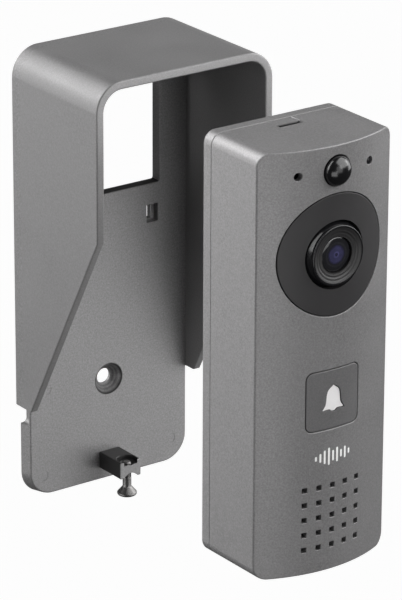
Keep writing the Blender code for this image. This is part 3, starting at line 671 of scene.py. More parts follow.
# Opaque window: the lens behind it is painted on, with painted reflections and painted shade.
GLASS = coated_lens("lens_window_glass", (0.009, 0.009, 0.011), (0.034, 0.033, 0.08), 4.7 * MM)
LENS = coated_lens("coated_lens_glass", (0.012, 0.008, 0.02), (0.16, 0.13, 0.5), 3.2 * MM)
CLEAR = clear_glass("smoked_light_pipe", (0.015, 0.015, 0.017), 0.3, 0.2)
INFRARED = clear_glass("infrared_led_epoxy", (0.3, 0.2, 0.35), 0.6, 0.08)
WHITE = moulded_plastic("white_icon_plastic", (0.74, 0.73, 0.73), 0.4, 1800, 0.08)
PRINT = moulded_plastic("white_printed_ink", (0.85, 0.85, 0.84), 0.5, 2400, 0.15)
STEEL = bare_metal("dull_steel", (0.21, 0.205, 0.203), 0.38, (1, 1, 6))
CAN_STEEL = bare_metal("drawn_steel", (0.5, 0.5, 0.5), 0.34, (1, 5, 1))
BRASS = bare_metal("knurled_brass", (0.72, 0.52, 0.22), 0.3, (1, 1, 8), 1200)
COPPER = bare_metal("copper_foil", (0.68, 0.32, 0.16), 0.4, (1, 6, 1))
RUBBER = rubber_finish("silicone_rubber", (0.02, 0.02, 0.021))
BOARD = circuit_board("green_circuit_board", (0.012, 0.11, 0.05), (0.05, 0.2, 0.09))
TERMINAL = moulded_plastic("green_terminal_plastic", (0.03, 0.24, 0.1), 0.45)
PAPER = moulded_plastic("pressed_paper_cone", (0.03, 0.03, 0.031), 0.85, 900, 0.5)
CLOTH = woven_mesh("speaker_cloth", (0.02, 0.02, 0.02))


# ---- bracket

def hood_depth(height):
    """How far forward the hood's side wall reaches at that height."""
    share = (height - HOOD_FOOT) / (HOOD_FRONT_FOOT - HOOD_FOOT)
    return HOOD_FOOT_DEPTH + (HOOD_DEPTH - HOOD_FOOT_DEPTH) * min(share, 1)


def hood_path():
    """The hood's U as points of its outer face, each with the direction inwards."""
    half, corner_z = HOOD_WIDTH / 2, HOOD_HEIGHT - HOOD_CORNER
    heights = (HOOD_FOOT, HOOD_FRONT_FOOT)
    path = [((half, z), (-1, 0)) for z in heights]
    for side, turn in ((1, 0), (-1, 1)):
        for c, s in quarter(turn, 20):
            point = (side * (half - HOOD_CORNER) + HOOD_CORNER * c, corner_z + HOOD_CORNER * s)
            path.append((point, (-c, -s)))
    return path + [((-half, z), (1, 0)) for z in reversed(heights)]


def hood_section(depth):
    """The wall's section as inset from the outer face and depth: back, outer side, rounded front rim."""
    rim = round_edge(0.5 * MM)
    outer = [(inset, depth - drop) for inset, drop in rim]
    inner = [(HOOD_WALL - inset, depth - drop) for inset, drop in reversed(rim)]
    back = 0.02 * MM                 # just off the plate's back, which it would otherwise share
    return [(0, back)] + outer + inner + [(HOOD_WALL, back)]


def hood_shell():
    rings = []
    for (x, z), (dx, dz) in hood_path():
        section = hood_section(hood_depth(z))
        rings.append([BRACKET.at(x + dx * inset, depth, z + dz * inset) for inset, depth in section])
    return loft("hood_shell", rings)


def plate_ring(width, inset, depth):
    """The plate's outline: round corners below, and above the hood's foot straight into the hood's walls."""
    half, sunk = width / 2, HOOD_WALL / 2
    height, corner = HOOD_HEIGHT - sunk, HOOD_CORNER - sunk
    above, below = HOOD_FOOT + 0.2 * MM, HOOD_FOOT - 0.3 * MM
    points = []
    for side, turn in ((1, 0), (-1, 1)):
        points += [(side * (half - corner) + corner * c, height - corner + corner * s)
                   for c, s in quarter(turn, 8)]
    points += [(-half, above), (-half + inset, below)]
    for side, turn in ((-1, 2), (1, 3)):
        points += [(side * (half - PLATE_CORNER) + (PLATE_CORNER - inset) * c,
                    PLATE_CORNER + (PLATE_CORNER - inset) * s) for c, s in quarter(turn, 16)]
    points += [(half - inset, below), (half, above)]
    return BRACKET.ring(points, depth)


def plate():
    back, front_edge = 0.3 * MM, round_edge(0.6 * MM)
    rings = [plate_ring(PLATE_BACK_WIDTH, back, 0), plate_ring(PLATE_BACK_WIDTH, 0, back)]
    rings += [plate_ring(PLATE_FRONT_WIDTH, inset, PLATE_DEPTH - drop) for inset, drop in front_edge]
    return loft("bracket_moulding", rings)


def boss():
    """The screw boss, with a rounded front edge."""
    centre = (0, (BOSS_TOP + BOSS_BOTTOM) / 2)
    outline = rounded(BOSS_WIDTH, BOSS_TOP - BOSS_BOTTOM, 0.5 * MM, 4, centre=centre)
    rings = [BRACKET.ring(outline, PLATE_DEPTH - MM)]
    for inset, drop in round_edge(0.3 * MM, 2):
        rings.append(BRACKET.ring(grown(outline, -inset), BOSS_FRONT - drop))
    return loft("screw_boss", rings)


def recess_tool():
    """The hollow in the plate's back, less islands round the wall hole, the boss and the hook pockets."""
    half, behind, ahead = PLATE_FRONT_WIDTH / 2 - RIM, -3 * MM, 3 * MM
    tool = box("recess", BRACKET, (-half, -MM, RIM), (half, RECESS_DEPTH, RECESS_TOP))
    islands = [prism("hole_island", circle(8 * MM, 48, (0, WALL_HOLE_HEIGHT)), behind, ahead, BRACKET)]
    islands.append(box("boss_island", BRACKET, (-BOSS_WIDTH / 2, behind, 0),
                       (BOSS_WIDTH / 2, ahead, BOSS_TOP + 2 * MM)))
    for x in HOOKS_X:
        half_width = HOOK_POCKET[0] / 2 + 2.5 * MM
        islands.append(box("hook_island", BRACKET, (x - half_width, behind, HOOK_HEIGHT - 5.7 * MM),
                           (x + half_width, ahead, RECESS_TOP + MM)))
    return carve(tool, *islands)


def bracket_wells(bm):
    """Every hole that opens on the plate's front."""
    width, bottom, top = WINDOW
    window = rounded(width, top - bottom, 0.7 * MM, 4, centre=(0, (top + bottom) / 2))
    well(bm, window, -MM, 0.2 * MM, PLATE_DEPTH, BRACKET)
    for x in HOOKS_X:
        pocket = rounded(HOOK_POCKET[0], HOOK_POCKET[1], 0.3 * MM, 3, centre=(x, HOOK_HEIGHT))
        well(bm, pocket, PLATE_DEPTH - HOOK_POCKET[2], 0.12 * MM, PLATE_DEPTH, BRACKET)


def countersink():
    """The wall screw's hole: a straight bore, a dished seat and a rounded lip."""
    seat, lip = 3.2 * MM, WALL_SINK_RADIUS + 0.3 * MM
    profile = [(WALL_HOLE_RADIUS, -MM), (WALL_HOLE_RADIUS, PLATE_DEPTH - seat)]
    for share in (0.25, 0.5, 0.75, 1.0):
        profile.append((WALL_HOLE_RADIUS + (WALL_SINK_RADIUS - WALL_HOLE_RADIUS) * share ** 0.8,
                        PLATE_DEPTH - seat * (1 - share) - 0.1 * MM))
    profile += [(lip, PLATE_DEPTH + 0.2 * MM), (lip, PLATE_DEPTH + 2 * MM)]
    return turned("countersink", profile, BRACKET.at(0, 0, WALL_HOLE_HEIGHT), 64, place=BRACKET)


def upright_tool(name, place, depth, *profile):
    """A turned cutter on an upright axis, from pairs of radius and height."""
    axis = place.at(0, depth, 0)
    return loft(name, [[Vector((axis.x + u, axis.y + v, place.bottom + z)) for u, v in circle(radius, 48)]
                       for radius, z in profile])


def boss_bore(depth):
    """The screw's bore, with a round pocket above it and a cone below for the screw's head."""
    (upper, upper_depth), (lower, lower_depth), lip = BOSS_UPPER_SINK, BOSS_LOWER_SINK, 0.2 * MM
    floor = BOSS_TOP - upper_depth
    return upright_tool("boss_bore", BRACKET, depth, (lower, 0), (lower, BOSS_BOTTOM - 0.05 * MM),
                        (BOSS_BORE, BOSS_BOTTOM + lower_depth), (BOSS_BORE, floor - 0.4 * MM),
                        (BOSS_BORE + 0.6 * MM, floor), (upper, floor), (upper, BOSS_TOP - lip),
                        (upper + 2 * lip, BOSS_TOP + lip), (upper + 2 * lip, BOSS_TOP + MM))


def pin_marks(bm):
    """Faint round marks where the mould's pins pushed the plate out."""
    for x, z in ((-25.7, 38.3), (-27.3, 7.1), (25.6, 8.2), (25.5, 85.8)):
        mark = circle(2.1 * MM, 32, (x * MM, z * MM))
        add_rings(bm, [BRACKET.ring(mark, PLATE_DEPTH, further) for further in (-0.1 * MM, MM)])


def cable_notch():
    """The rounded gap in the left rim where a cable can leave."""
    low, high = CABLE_NOTCH
    outline = rounded(8 * MM, high - low, 1.6 * MM, 6, centre=(-HOOD_WIDTH / 2, (low + high) / 2))
    return prism("cable_notch", outline, -MM, PLATE_DEPTH - 0.6 * MM, BRACKET)


def bracket():
    body = join(plate(), hood_shell(), boss())
    depth = BRACKET.depth(middle("retaining_screw").y)
    through = [box("hook_slit", BRACKET, (x - HOOK_SLIT[0] / 2, -MM, HOOK_HEIGHT - HOOK_SLIT[1] / 2),
                   (x + HOOK_SLIT[0] / 2, PLATE_DEPTH + MM, HOOK_HEIGHT + HOOK_SLIT[1] / 2))
               for x in HOOKS_X]
    carve(body, recess_tool(), build("wells", bracket_wells), build("pin_marks", pin_marks), countersink(),
          boss_bore(depth), cable_notch(), *through)
    shown(body, BRACKET_GREY, "bracket", "grey_plastic", "hood_bracket")


# ---- doorbell casing

def bell_outline(inset):
    return rounded(BELL_WIDTH - 2 * inset, BELL_HEIGHT - 2 * inset, max(BELL_CORNER - inset, 0.8 * MM),
                   14, 44, (0, BELL_HEIGHT / 2))


def cavity():
    outline = bell_outline(BELL_WALL)
    return loft("cavity", [BELL.ring(outline, 0), BELL.ring(outline, front, -BELL_WALL)], caps="strips")


def housing_wells(bm):
    """Every hole that opens on the doorbell's front."""
    deep, button_corner, sensor_hole = 24 * MM, 2.6 * MM, 1.35 * MM
    sound_hole, pitch = 1.85 * MM, 5.15 * MM
    well(bm, circle(size("camera_bezel").x / 2 + GAP, 160, (0, BELL.height(CAMERA.z))), deep)
    width, height = size("button_cap").x + 2 * GAP, size("button_cap").z + 2 * GAP
    well(bm, rounded(width, height, button_corner, 8, 16, (0, BELL.height(BUTTON.z))), deep)
    well(bm, circle(PIR_RADIUS + GAP, 72, (0, BELL.height(PIR.z))), deep)
    for x in (MICROPHONE.x, LIGHT.x):
        well(bm, circle(sensor_hole, 32, (x, BELL.height(MICROPHONE.z))), deep)
    for column in range(5):
        for row in range(5):
            centre = ((column - 2) * pitch, BELL.height(SPEAKER.z) + (row - 2) * pitch)
            well(bm, rounded(sound_hole, sound_hole, 0.2 * MM, 2, 2, centre), deep, 0.1 * MM)


def pry_notch():
    """The shallow notch on top from the seam to the release slot, with sloping sides."""
    half, floor, slope = SLOT_WIDTH / 2, BELL_HEIGHT - NOTCH_DROP, 0.12 * MM
    ring = [(half, floor), (half + slope, BELL_HEIGHT), (half + 4 * slope, BELL_HEIGHT + MM),
            (-half - 4 * slope, BELL_HEIGHT + MM), (-half - slope, BELL_HEIGHT), (-half, floor)]
    return prism("pry_notch", ring, 0, SLOT[0] + 0.1 * MM)


def release_slot():
    """The slot that the notch leads to, undercut towards the back."""
    (near, far), above, floor, undercut = SLOT, BELL_HEIGHT + MM, BELL_HEIGHT - 4 * MM, 5 * MM
    side = [(near, BELL_HEIGHT - 0.6 * MM), (near, above), (far, above), (far, floor),
            (near - undercut, floor)]
    return side_prism("release_slot", side, 0, SLOT_WIDTH / 2)


def posts():
    """The screw posts behind the front wall, and their bores."""
    made, bores = [], []
    radius, root, board_post = 2.6 * MM, 30.5 * MM, 22.5 * MM
    for node, near in [(s, HOUSING_BACK) for s in COVER_SCREWS] + [(s, board_post) for s in BOARD_SCREWS]:
        centre = middle(node)
        end = BELL.depth(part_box(node)[0].y) + GAP
        made.append(turned("post", [(radius, near), (radius, root)], centre, 32))
        bores.append(turned("post_bore", [(SCREW_HOLE, near - MM), (SCREW_HOLE, end)], centre, 24))
    return made, bores


def housing():
    """The doorbell's front and sides, with its screw posts and the threaded insert's boss."""
    body = domed("housing_shell", bell_outline, SEAM + SEAM_GAP, BELL_EDGE, 0.12 * MM)
    depth = BELL.depth(middle("threaded_insert").y)
    hole, floor, seat, outside = 2.3 * MM, 1.2 * MM, 3.4 * MM, 4.6 * MM
    bore = upright_tool("underside_hole", BELL, depth, (hole + 0.6 * MM, -MM), (hole + 0.4 * MM, 0),
                        (hole, 0.4 * MM), (hole, floor), (seat, floor), (seat, 10 * MM))
    carve(body, cavity())
    made, bores = posts()
    join(body, *made, upright_tool("insert_boss", BELL, depth, (outside, BELL_WALL / 2), (outside, 8.5 * MM)))
    carve(body, *bores, build("wells", housing_wells), bore, pry_notch(), release_slot())
    shown(body, GREY, "doorbell", "grey_plastic", "front_housing")


def hook(x):
    """A thin hook behind the cover, with a sloping nose."""
    height = BELL.height(BRACKET.bottom + HOOK_HEIGHT)
    root, reach, nose = 0.5 * MM, -3.4 * MM, 0.7 * MM
    low, high = height - 1.8 * MM, height + 1.8 * MM
    side = [(root, low), (reach, low), (reach, high - nose), (reach + nose, high), (root, high)]
    return side_prism("hook", side, x, HOOK_HALF)


def cover():
    """The flat back cover, with its lip, hooks, screw seats, terminal opening and a sunk label field."""
    edge = 0.12 * MM
    profile = ((0.5 * MM, 0), (0.15 * MM, 0.15 * MM), (0, 0.5 * MM), (0, SEAM - edge), (edge, SEAM))
    body = loft("cover_shell", [BELL.ring(bell_outline(inset), depth) for inset, depth in profile])
    carve(body, prism("cover_pocket", bell_outline(BELL_WALL), BELL_WALL, SEAM + MM))
    lip = prism("cover_lip", bell_outline(4 * MM), BELL_WALL - 0.2 * MM, 5.6 * MM)
    carve(lip, prism("lip_bore", bell_outline(5.2 * MM), 0, 7 * MM))
    join(body, lip, *(hook(x) for x in HOOKS_X))
    width, _, height = size("terminal_block") + Vector((0.8 * MM, 0, 0.8 * MM))
    opening = rounded(width, height, 0.5 * MM, 3, centre=(0, BELL.height(middle("terminal_block").z)))
    label = rounded(32 * MM, 24 * MM, 1.5 * MM, 6, centre=(0, 42 * MM))
    tools = [prism("terminal_opening", opening, -MM, 4 * MM), prism("label_field", label, -MM, 0.15 * MM)]
    sink, mouth, floor, lip = 2.9 * MM, 3.3 * MM, 1.6 * MM, 0.2 * MM
    seat = [(SCREW_HOLE, 3 * MM), (SCREW_HOLE, floor), (sink, floor), (sink, lip), (mouth, -lip),
            (mouth, -MM)]
    tools += [turned("screw_seat", seat, middle(node), 40) for node in COVER_SCREWS]
    carve(body, *tools)
    shown(body, GREY, "doorbell", "grey_plastic", "back_cover")


# ---- camera and sensors

def bezel():
    """The charcoal disc around the camera."""
    radius = size("camera_bezel").x / 2
    centre = (0, BELL.height(CAMERA.z))
    disc = domed("camera_disc", lambda inset: circle(radius - inset, 160, centre),
                 front(radius) - 1.6 * MM, 0.2 * MM)
    ring = size("camera_ring").x / 2 + GAP
    carve(disc, prism("ring_hole", circle(ring, 128, centre), 20 * MM, 45 * MM))
    shown(disc, BLACK, "doorbell", "black_plastic", "camera_bezel")


def ring():
    """The raised ring: a glossy side wall, a fine groove under its bead, and a dish with shallow steps."""
    top = BELL.depth(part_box("camera_ring")[0].y)
    back = BELL.depth(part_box("camera_ring")[1].y)
    outer = size("camera_ring").x / 2
    bore = 5.9 * MM
    root = BELL.depth(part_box("camera_bezel")[0].y) - 2 * MM
    taper, bead = 1.05 * MM, 0.35 * MM
    groove = outer - taper - 0.2 * MM
    profile = [(bore, back), (outer, back), (outer, root), (outer - 0.15 * MM, root + 0.15 * MM),
               (outer - taper, top - MM), (groove, top - 0.98 * MM), (groove, top - 0.8 * MM)]
    profile += [(groove + 0.1 * MM - inset, top - drop) for inset, drop in round_edge(bead, 6)]
    dish_start, dish_drop = groove - 0.6 * MM, 0.75 * MM
    steps = 28
    for step in range(steps + 1):
        share = step / steps
        wave = 0.045 * MM * math.sin(share * 3 * 2 * math.pi) * math.sin(share * math.pi)
        profile.append((dish_start + (bore - dish_start) * share,
                        top - 0.08 * MM - dish_drop * (1 - (1 - share) ** 1.5) + wave))
    made = turned("camera_collar", profile, CAMERA, 160, loop=True)
    shown(made, COLLAR, "doorbell", "gloss_black", "camera_ring")


def dome_profile(radius, root, rise, steps=14):
    """Radius and depth from the crown down to the rim."""
    return [(radius * s, root + rise * c) for c, s in quarter(0, steps)]


def lens_window():
    """A domed window, set back a little in the ring."""
    low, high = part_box("lens_window")
    radius, back = (high.x - low.x) / 2, BELL.depth(high.y)
    rise, wall, set_back = 0.5 * MM, 0.4 * MM, 0.35 * MM
    root = BELL.depth(low.y) - set_back - rise
    profile = dome_profile(radius, root, rise) + [(radius, back), (radius - wall, back)]
    profile += reversed(dome_profile(radius - wall, root, rise - wall))
    made = turned("lens_dome", profile, CAMERA, caps="none")
    shown(made, GLASS, "doorbell", "lens_glass", "lens_window")


def lens_barrel():
    """A cup behind the window whose bore widens forward in steps."""
    floor, back, outside, shoulder = 28.8 * MM, 27.8 * MM, 6 * MM, 5.4 * MM
    profile = [(0, floor)]
    for radius, lip in ((3, 29.4), (3.4, 30.2), (3.9, 31.1), (4.4, 32), (4.8, 32.8)):
        profile += [(radius * MM, floor), (radius * MM, lip * MM)]
        floor = lip * MM
    profile += [(shoulder, floor), (shoulder, 30.6 * MM), (outside, 30.2 * MM), (outside, back), (0, back)]
    made = turned("stepped_barrel", profile, CAMERA, 72, "none")
    shown(made, DARK, "doorbell", "black_plastic", "lens_barrel")


def lens_element():
    """The front lens in the barrel."""
    radius, root, rise, back = 2.7 * MM, 30.4 * MM, 1.5 * MM, 29.1 * MM
    profile = dome_profile(radius, root, rise) + [(radius - 0.3 * MM, back), (0, back)]
    made = turned("front_element", profile, CAMERA, 64, "none")
    shown(made, LENS, "doorbell", "lens_glass", "lens_element")


def motion_lens():
    """The motion sensor's hollow dome, with a flange behind the front wall."""
    root, rise, wall = 34.8 * MM, 3.2 * MM, 0.95 * MM
    flange, near, far = 6.2 * MM, 30.9 * MM, 31.9 * MM
    inner = PIR_RADIUS - wall
    profile = dome_profile(PIR_RADIUS, root, rise, 18)
    profile += [(PIR_RADIUS, far), (flange, far), (flange, near), (inner, near)]
    profile += reversed(dome_profile(inner, root, rise - wall, 12))
    shown(turned("motion_dome", profile, PIR, caps="none"), GLOSS, "doorbell", "gloss_black", "pir_lens")


# ---- button and marks

def bell_shape():
    """A bell from its crown down one side, round the clapper and up the other."""
    half = [(0, 4.5), (0.7, 4.05), (1.5, 3.5), (2.15, 2.7), (2.5, 1.4), (2.7, -0.4), (3.05, -2),
            (3.95, -3.3), (3.85, -3.6), (2.4, -3.45), (1.25, -3.5), (0.8, -3.95), (0, -4.15)]
    side = [(x * MM, z * MM) for x, z in half]
    centre_z = BELL.height(middle("bell_icon").z)
    outline = smooth_outline(side + [(-x, z) for x, z in side[-2:0:-1]], 5)
    return [(x, centre_z + z) for x, z in reversed(outline)]


def button():
    """The cap with its stem, and the white bell set in a pocket a little below its face."""
    centre = (0, BELL.height(BUTTON.z))
    width, _, height = size("button_cap")
    back, pocket_floor, sunk, stem = 31.4 * MM, 33 * MM, 0.35 * MM, 2.2 * MM
    cap = domed("call_button", lambda inset: rounded(width - 2 * inset, height - 2 * inset, 2.3 * MM - inset,
                                                     10, 24, centre), back, 0.25 * MM)
    join(cap, turned("button_stem", [(stem, 28.5 * MM), (stem, back + MM)], BUTTON, 32))
    hollow = grown(bell_shape(), 0.25 * MM)
    carve(cap, build("icon_pocket", lambda bm: well(bm, hollow, pocket_floor, 0.05 * MM)))
    shown(cap, BUTTON_GREY, "bell_button", "button_grey", "button_cap")
    icon = prism("bell_symbol", bell_shape(), pocket_floor + 0.1 * MM, 40 * MM)
    around = rounded(30 * MM, 30 * MM, MM, 2, 40, centre)
    face = loft("icon_face", [BELL.ring(around, 30 * MM), BELL.ring(around, front, -sunk)], caps="strips")
    carve(icon, face, kind="INTERSECT")
    shown(icon, WHITE, "bell_button", "white_plastic", "bell_icon")


def sound_mark():
    """A generic printed sound wave between the button and the grille."""
    heights = (1.6, 3, 4.6, 5.9, 3.6, 5, 2.6, 4, 1.8)
    pitch, width, centre_height = 1.62 * MM, 0.72 * MM, 39.4 * MM

    def bars(bm):
        for i, tall in enumerate(heights):
            x = (i - (len(heights) - 1) / 2) * pitch
            outline = rounded(width, tall * MM, width / 2 - 0.01 * MM, 5, centre=(x, centre_height))
            add_rings(bm, [BELL.ring(grown(outline, -inset), front, rise) for inset, rise in
                           ((0, -0.1 * MM), (0, 0.02 * MM), (0.03 * MM, 0.04 * MM))])

    shown(build("sound_mark", bars), PRINT, "doorbell", "white_plastic")


# ---- screws

THREAD_DEPTH = 0.27 * MM


def cross_outline(radius, width):
    """A plus sign, counter-clockwise."""
    w = width / 2
    arm = [(radius, -w), (radius, w), (w, w)]
    points = []
    for turn in range(4):
        c, s = round(math.cos(turn * math.pi / 2)), round(math.sin(turn * math.pi / 2))
        points += [(u * c - v * s, u * s + v * c) for u, v in arm]
    return points


def threaded(radius, start, end, pitch):
    """Rows of radius, place along the axis and depth of cut for a rolled thread that fades in and out."""
    steps = int((end - start) / pitch * 8)
    shares = [step / steps for step in range(steps + 1)]
    return [(radius, start + (end - start) * s, min(1, 8 * s, 8 * (1 - s))) for s in shares]


def screw(name, place, rows, pitch, recess):
    """Rings about an axis that place maps to the row frame, less a cross recess given as rows too."""
    rings = []
    for radius, along, cut in rows:
        ring = []
        for u, v in circle(1.0, 40):
            phase = (along / pitch - math.atan2(v, u) / (2 * math.pi)) % 1
            here = radius - cut * THREAD_DEPTH * abs(2 * phase - 1)
            ring.append(place(u * here, v * here, along))
        rings.append(ring)
    cross = [[place(u, v, along) for u, v in cross_outline(reach, width)] for reach, width, along in recess]
    return carve(loft(name, rings, caps="none"), loft("recess", cross))


def retaining_screw():
    """Countersunk, head down: a plain neck, a rolled thread above it and a cross recess below."""
    low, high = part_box("retaining_screw")
    axis = (low + high) / 2
    radius, head = 1.5 * MM, (high.x - low.x) / 2
    neck = BRACKET.bottom + 0.6 * MM
    tip = high.z - 0.5 * MM
    rim = neck - low.z
    rows = [(at, low.z + rim * share, 0) for at, share in (
        (0, 0), (head - 0.6 * MM, 0), (head - 0.25 * MM, 0.06), (head - 0.04 * MM, 0.15), (head, 0.22),
        (head - 0.05 * MM, 0.32), (radius + 0.2 * MM, 0.9), (radius, 1.02))]
    rows += threaded(radius, neck + 3 * MM, tip, 0.5 * MM) + [(radius - 0.4 * MM, high.z, 0), (0, high.z, 0)]
    recess = [(1.8 * MM, 0.75 * MM, low.z - MM), (1.7 * MM, 0.7 * MM, low.z),
              (0.7 * MM, 0.5 * MM, low.z + 1.8 * MM)]
    made = screw("captive_screw", lambda u, v, z: Vector((axis.x + u, axis.y + v, z)), rows, 0.5 * MM, recess)
    shown(made, STEEL, "retaining_screw", "steel", "retaining_screw")


def small_screw(node, thickness, radius):
    """A flat-headed screw driven in from behind, in place of that node."""
    low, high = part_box(node)
    near, far, head = BELL.depth(high.y), BELL.depth(low.y), (high.x - low.x) / 2
    axis = (low + high) / 2
    seat = near + thickness
    rows = [(0, near, 0), (head - 0.4 * MM, near, 0), (head - 0.1 * MM, near + 0.12 * MM, 0),
            (head, near + 0.4 * MM, 0), (head, seat, 0), (radius, seat, 0)]
    rows += threaded(radius, seat + 0.4 * MM, far - 0.8 * MM, 0.6 * MM)
    rows += [(radius / 2, far - 0.1 * MM, 0), (0, far, 0)]
    recess = [(1.5 * MM, 0.6 * MM, near - MM), (1.4 * MM, 0.55 * MM, near),
              (0.6 * MM, 0.4 * MM, near + 0.9 * MM)]
    made = screw(node + "_turned", lambda u, v, d: BELL.at(axis.x + u, d, BELL.height(axis.z) + v), rows,
                 0.6 * MM, recess)
    shown(made, STEEL, "doorbell", "steel", node)


def terminal_block():
    """Two screw wells behind and two wire entries below, in a block with rounded edges."""
    low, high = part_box("terminal_block")
    centre = (0, BELL.height((low.z + high.z) / 2))
    near, far = BELL.depth(high.y), BELL.depth(low.y)
    outline = rounded(high.x - low.x, high.z - low.z, 0.5 * MM, 3, centre=centre)
    rings = [BELL.ring(grown(outline, -inset), near + drop) for inset, drop in reversed(round_edge(0.4 * MM))]
    block = loft("terminal_housing", rings + [BELL.ring(outline, far)])
    bore, mouth = 2.8 * MM, 3.1 * MM
    wells = [(bore, near + 5.4 * MM), (bore, near + 0.3 * MM), (mouth, near), (mouth, near - MM)]
    tools = []
    for node in TERMINAL_SCREWS:
        here = middle(node)
        tools.append(turned("screw_well", wells, here, 40))
        entry = rounded(2.8 * MM, 5 * MM, 0.4 * MM, 3, centre=(here.x, BELL.height(low.z) + 1.5 * MM))
        tools.append(prism("wire_entry", entry, near + 6 * MM, near + 8.4 * MM))
    shown(carve(block, *tools), TERMINAL, "doorbell", "terminal_green", "terminal_block")


# ---- carried-over nodes

NODE_FINISHES = (
    (RUBBER, "cover_gasket microphone_seal button_membrane speaker_seal"),
    (DARK, "camera_module light_sensor tact_switch speaker_frame"),
    (CAN_STEEL, "pir_sensor microphone speaker_magnet radio_shield"),
    (BOARD, "sensor_board main_board"),
    (INFRARED, "infrared_led_1 infrared_led_2 infrared_led_3 infrared_led_4"),
    (CLEAR, "light_pipe"),
    (BRASS, "threaded_insert"),
    (COPPER, "antenna_strip"),
    (WHITE, "switch_plunger"),
    (PAPER, "speaker_cone"),
    (CLOTH, "speaker_mesh"),
)


def finish_nodes():
    """The CAD nodes that stay as they are get their material."""
    for finish, names in NODE_FINISHES:
        for name in names.split():
            materials = frame["nodes"][name].data.materials
            materials.clear()
            materials.append(finish)


# ---- stage

PAPER_GLOW = 0.97


def studio():
    """A pale floor that runs out to a horizon of the same white, and a faint even light from all round."""
    top, thick = CAD_BOX[0].z - 0.45, 0.02
    floor = loft("floor", [[Vector((u, v, z)) for u, v in circle(30)] for z in (top - thick, top)])
    paper = Nodes("pale_floor", Roughness=0.9, Emission_Color=(1, 1, 1, 1), Emission_Strength=PAPER_GLOW)
    paper.colour(paper.tints(paper.noise(3), (0.2, 0.2, 0.2), (0.3, 1), (0.7, 1.1)))
    floor.data.materials.append(paper.material)
    floor.visible_diffuse = False
    floor.visible_glossy = False
    floor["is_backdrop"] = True

    world = bpy.data.worlds.new("studio")
    bpy.context.scene.world = world
    world.use_nodes = True
    background = world.node_tree.nodes["Background"]
    background.inputs["Color"].default_value = (1, 1, 1, 1)
    strength = world.node_tree.nodes.new("ShaderNodeMapRange")
    strength.inputs["To Min"].default_value = 0.05
    strength.inputs["To Max"].default_value = PAPER_GLOW
    seen = world.node_tree.nodes.new("ShaderNodeLightPath").outputs["Is Camera Ray"]
    world.node_tree.links.new(seen, strength.inputs["Value"])
    world.node_tree.links.new(strength.outputs["Result"], background.inputs["Strength"])


def softbox(name, direction, distance, width, height, power, lit, shading):
    """An area light that faces the object from that direction, for the lit pieces, shaded by the others."""
    light = bpy.data.lights.new(name, "AREA")
    light.shape = "RECTANGLE"
    light.size = width
    light.size_y = height
    light.energy = power
    obj = linked(name, light)
    towards = Vector(direction).normalized()
    obj.location = towards * distance
    obj.rotation_euler = (-towards).to_track_quat("-Z", "Y").to_euler()
    obj.visible_camera = False
    obj.light_linking.receiver_collection = lit
    obj.light_linking.blocker_collection = shading


# Each row: name, direction, distance, width, height and power
BRACKET_LIGHTS = (
    ("back_top", (-0.45, 0.7, 0.6), 1.6, 1.5, 1.2, 18),
    ("back_left", (-0.8, 0.6, 0.15), 1.5, 1.9, 1.5, 17),
    ("left_low", (-1, 0, -0.25), 1.2, 0.8, 0.4, 3),
    ("front", (0.15, -1, 0.1), 1.4, 0.8, 0.8, 1),
    ("front_high", (0.1, -0.75, 0.75), 1.4, 1.0, 1.0, 3.7),
    ("front_right", (0.55, -0.76, 0.1), 1.4, 1.8, 1.6, 18.5),
    ("right", (1, -0.25, 0.15), 1.4, 1.8, 1.6, 17),
    ("right_high", (0.9, 0.1, 0.7), 1.4, 1.0, 1.0, 10))

DOORBELL_LIGHTS = (
    ("back_top", (-0.45, 0.7, 0.6), 1.6, 1.5, 1.2, 22),
    ("back_left", (-0.8, 0.6, 0.27), 1.5, 2.3, 1.8, 26),
    ("back_low", (-0.547, 0.757, -0.3), 1.2, 0.7, 0.5, 1.1),
    ("left_high", (-0.75, -0.04, 0.65), 1.2, 0.35, 1.5, 7),
    ("front_low", (-0.35, -0.9, -0.25), 1.2, 0.8, 0.5, 2.6),
    ("front", (0.15, -1, 0.1), 1.4, 0.8, 0.8, 2.4),
    ("front_right_high", (0.6, -0.6, 0.6), 1.4, 1.8, 1.6, 29),
    ("right", (1, -0.25, 0.15), 1.4, 0.8, 1.0, 6.4))


def flag():
    """A card close behind the bracket's window, unseen, that keeps the lights behind from shining in."""
    width, bottom, top = WINDOW
    card = box("flag", BRACKET, (-width / 2 - 4 * MM, -9 * MM, bottom - 4 * MM),
               (width / 2 + 4 * MM, -8 * MM, top + 4 * MM))
    card.data.materials.append(DARK)
    for ray in ("camera", "diffuse", "glossy", "transmission"):
        setattr(card, "visible_" + ray, False)
    card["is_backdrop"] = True
    return card


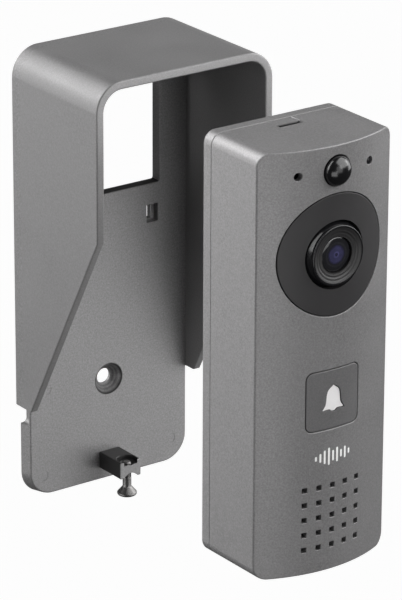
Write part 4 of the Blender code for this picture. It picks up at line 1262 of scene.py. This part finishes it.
def lights():
    """Softboxes for the bracket and the doorbell, which are lit apart: the bracket's ignore the doorbell."""
    groups = {"bracket": [], "doorbell": []}
    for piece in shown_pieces():
        on_bracket = body_of(piece)[0] in ("bracket", "retaining_screw")
        groups["bracket" if on_bracket else "doorbell"].append(piece)
    shading = {"bracket": groups["bracket"] + [flag()], "doorbell": groups["bracket"] + groups["doorbell"]}
    for side, rows in (("bracket", BRACKET_LIGHTS), ("doorbell", DOORBELL_LIGHTS)):
        links = []
        for purpose, pieces in (("lit", groups[side]), ("shading", shading[side])):
            links.append(bpy.data.collections.new(side + "_" + purpose))
            for piece in pieces:
                links[-1].objects.link(piece)
        for name, *row in rows:
            softbox(side + "_" + name, *row, *links)


def camera():
    azimuth, elevation, roll = math.radians(-35.85), math.radians(21.0), math.radians(0.24)
    distance, aside, below = 1.35235, 33.74 * MM, 15.06 * MM
    target = Vector((0, 0, -20.5 * MM))
    forward = Vector((-math.sin(azimuth) * math.cos(elevation), math.cos(azimuth) * math.cos(elevation),
                      -math.sin(elevation)))
    right = Vector((math.cos(azimuth), math.sin(azimuth), 0))
    up = right.cross(forward)
    right, up = (right * math.cos(roll) + up * math.sin(roll), up * math.cos(roll) - right * math.sin(roll))
    data = bpy.data.cameras.new("camera")
    data.sensor_width = 36
    data.sensor_fit = "AUTO"
    data.lens = 240
    data.clip_start = 0.05
    data.clip_end = 100
    obj = linked("camera", data)
    place = target + right * aside - up * below - forward * distance
    turn = Matrix((right, up, -forward)).transposed().to_4x4()
    obj.matrix_world = Matrix.Translation(place) @ turn
    bpy.context.scene.camera = obj


bracket()
retaining_screw()
for screws, thickness, radius in ((COVER_SCREWS, 1.1 * MM, 1.4 * MM), (BOARD_SCREWS, 1.2 * MM, 1.2 * MM),
                                  (TERMINAL_SCREWS, 1.5 * MM, 1.3 * MM)):
    for node in screws:
        small_screw(node, thickness, radius)
terminal_block()
housing()
cover()
bezel()
ring()
lens_window()
lens_barrel()
lens_element()
motion_lens()
button()
sound_mark()
finish_nodes()
studio()
lights()
camera()
bpy.context.scene.view_settings.view_transform = "Standard"
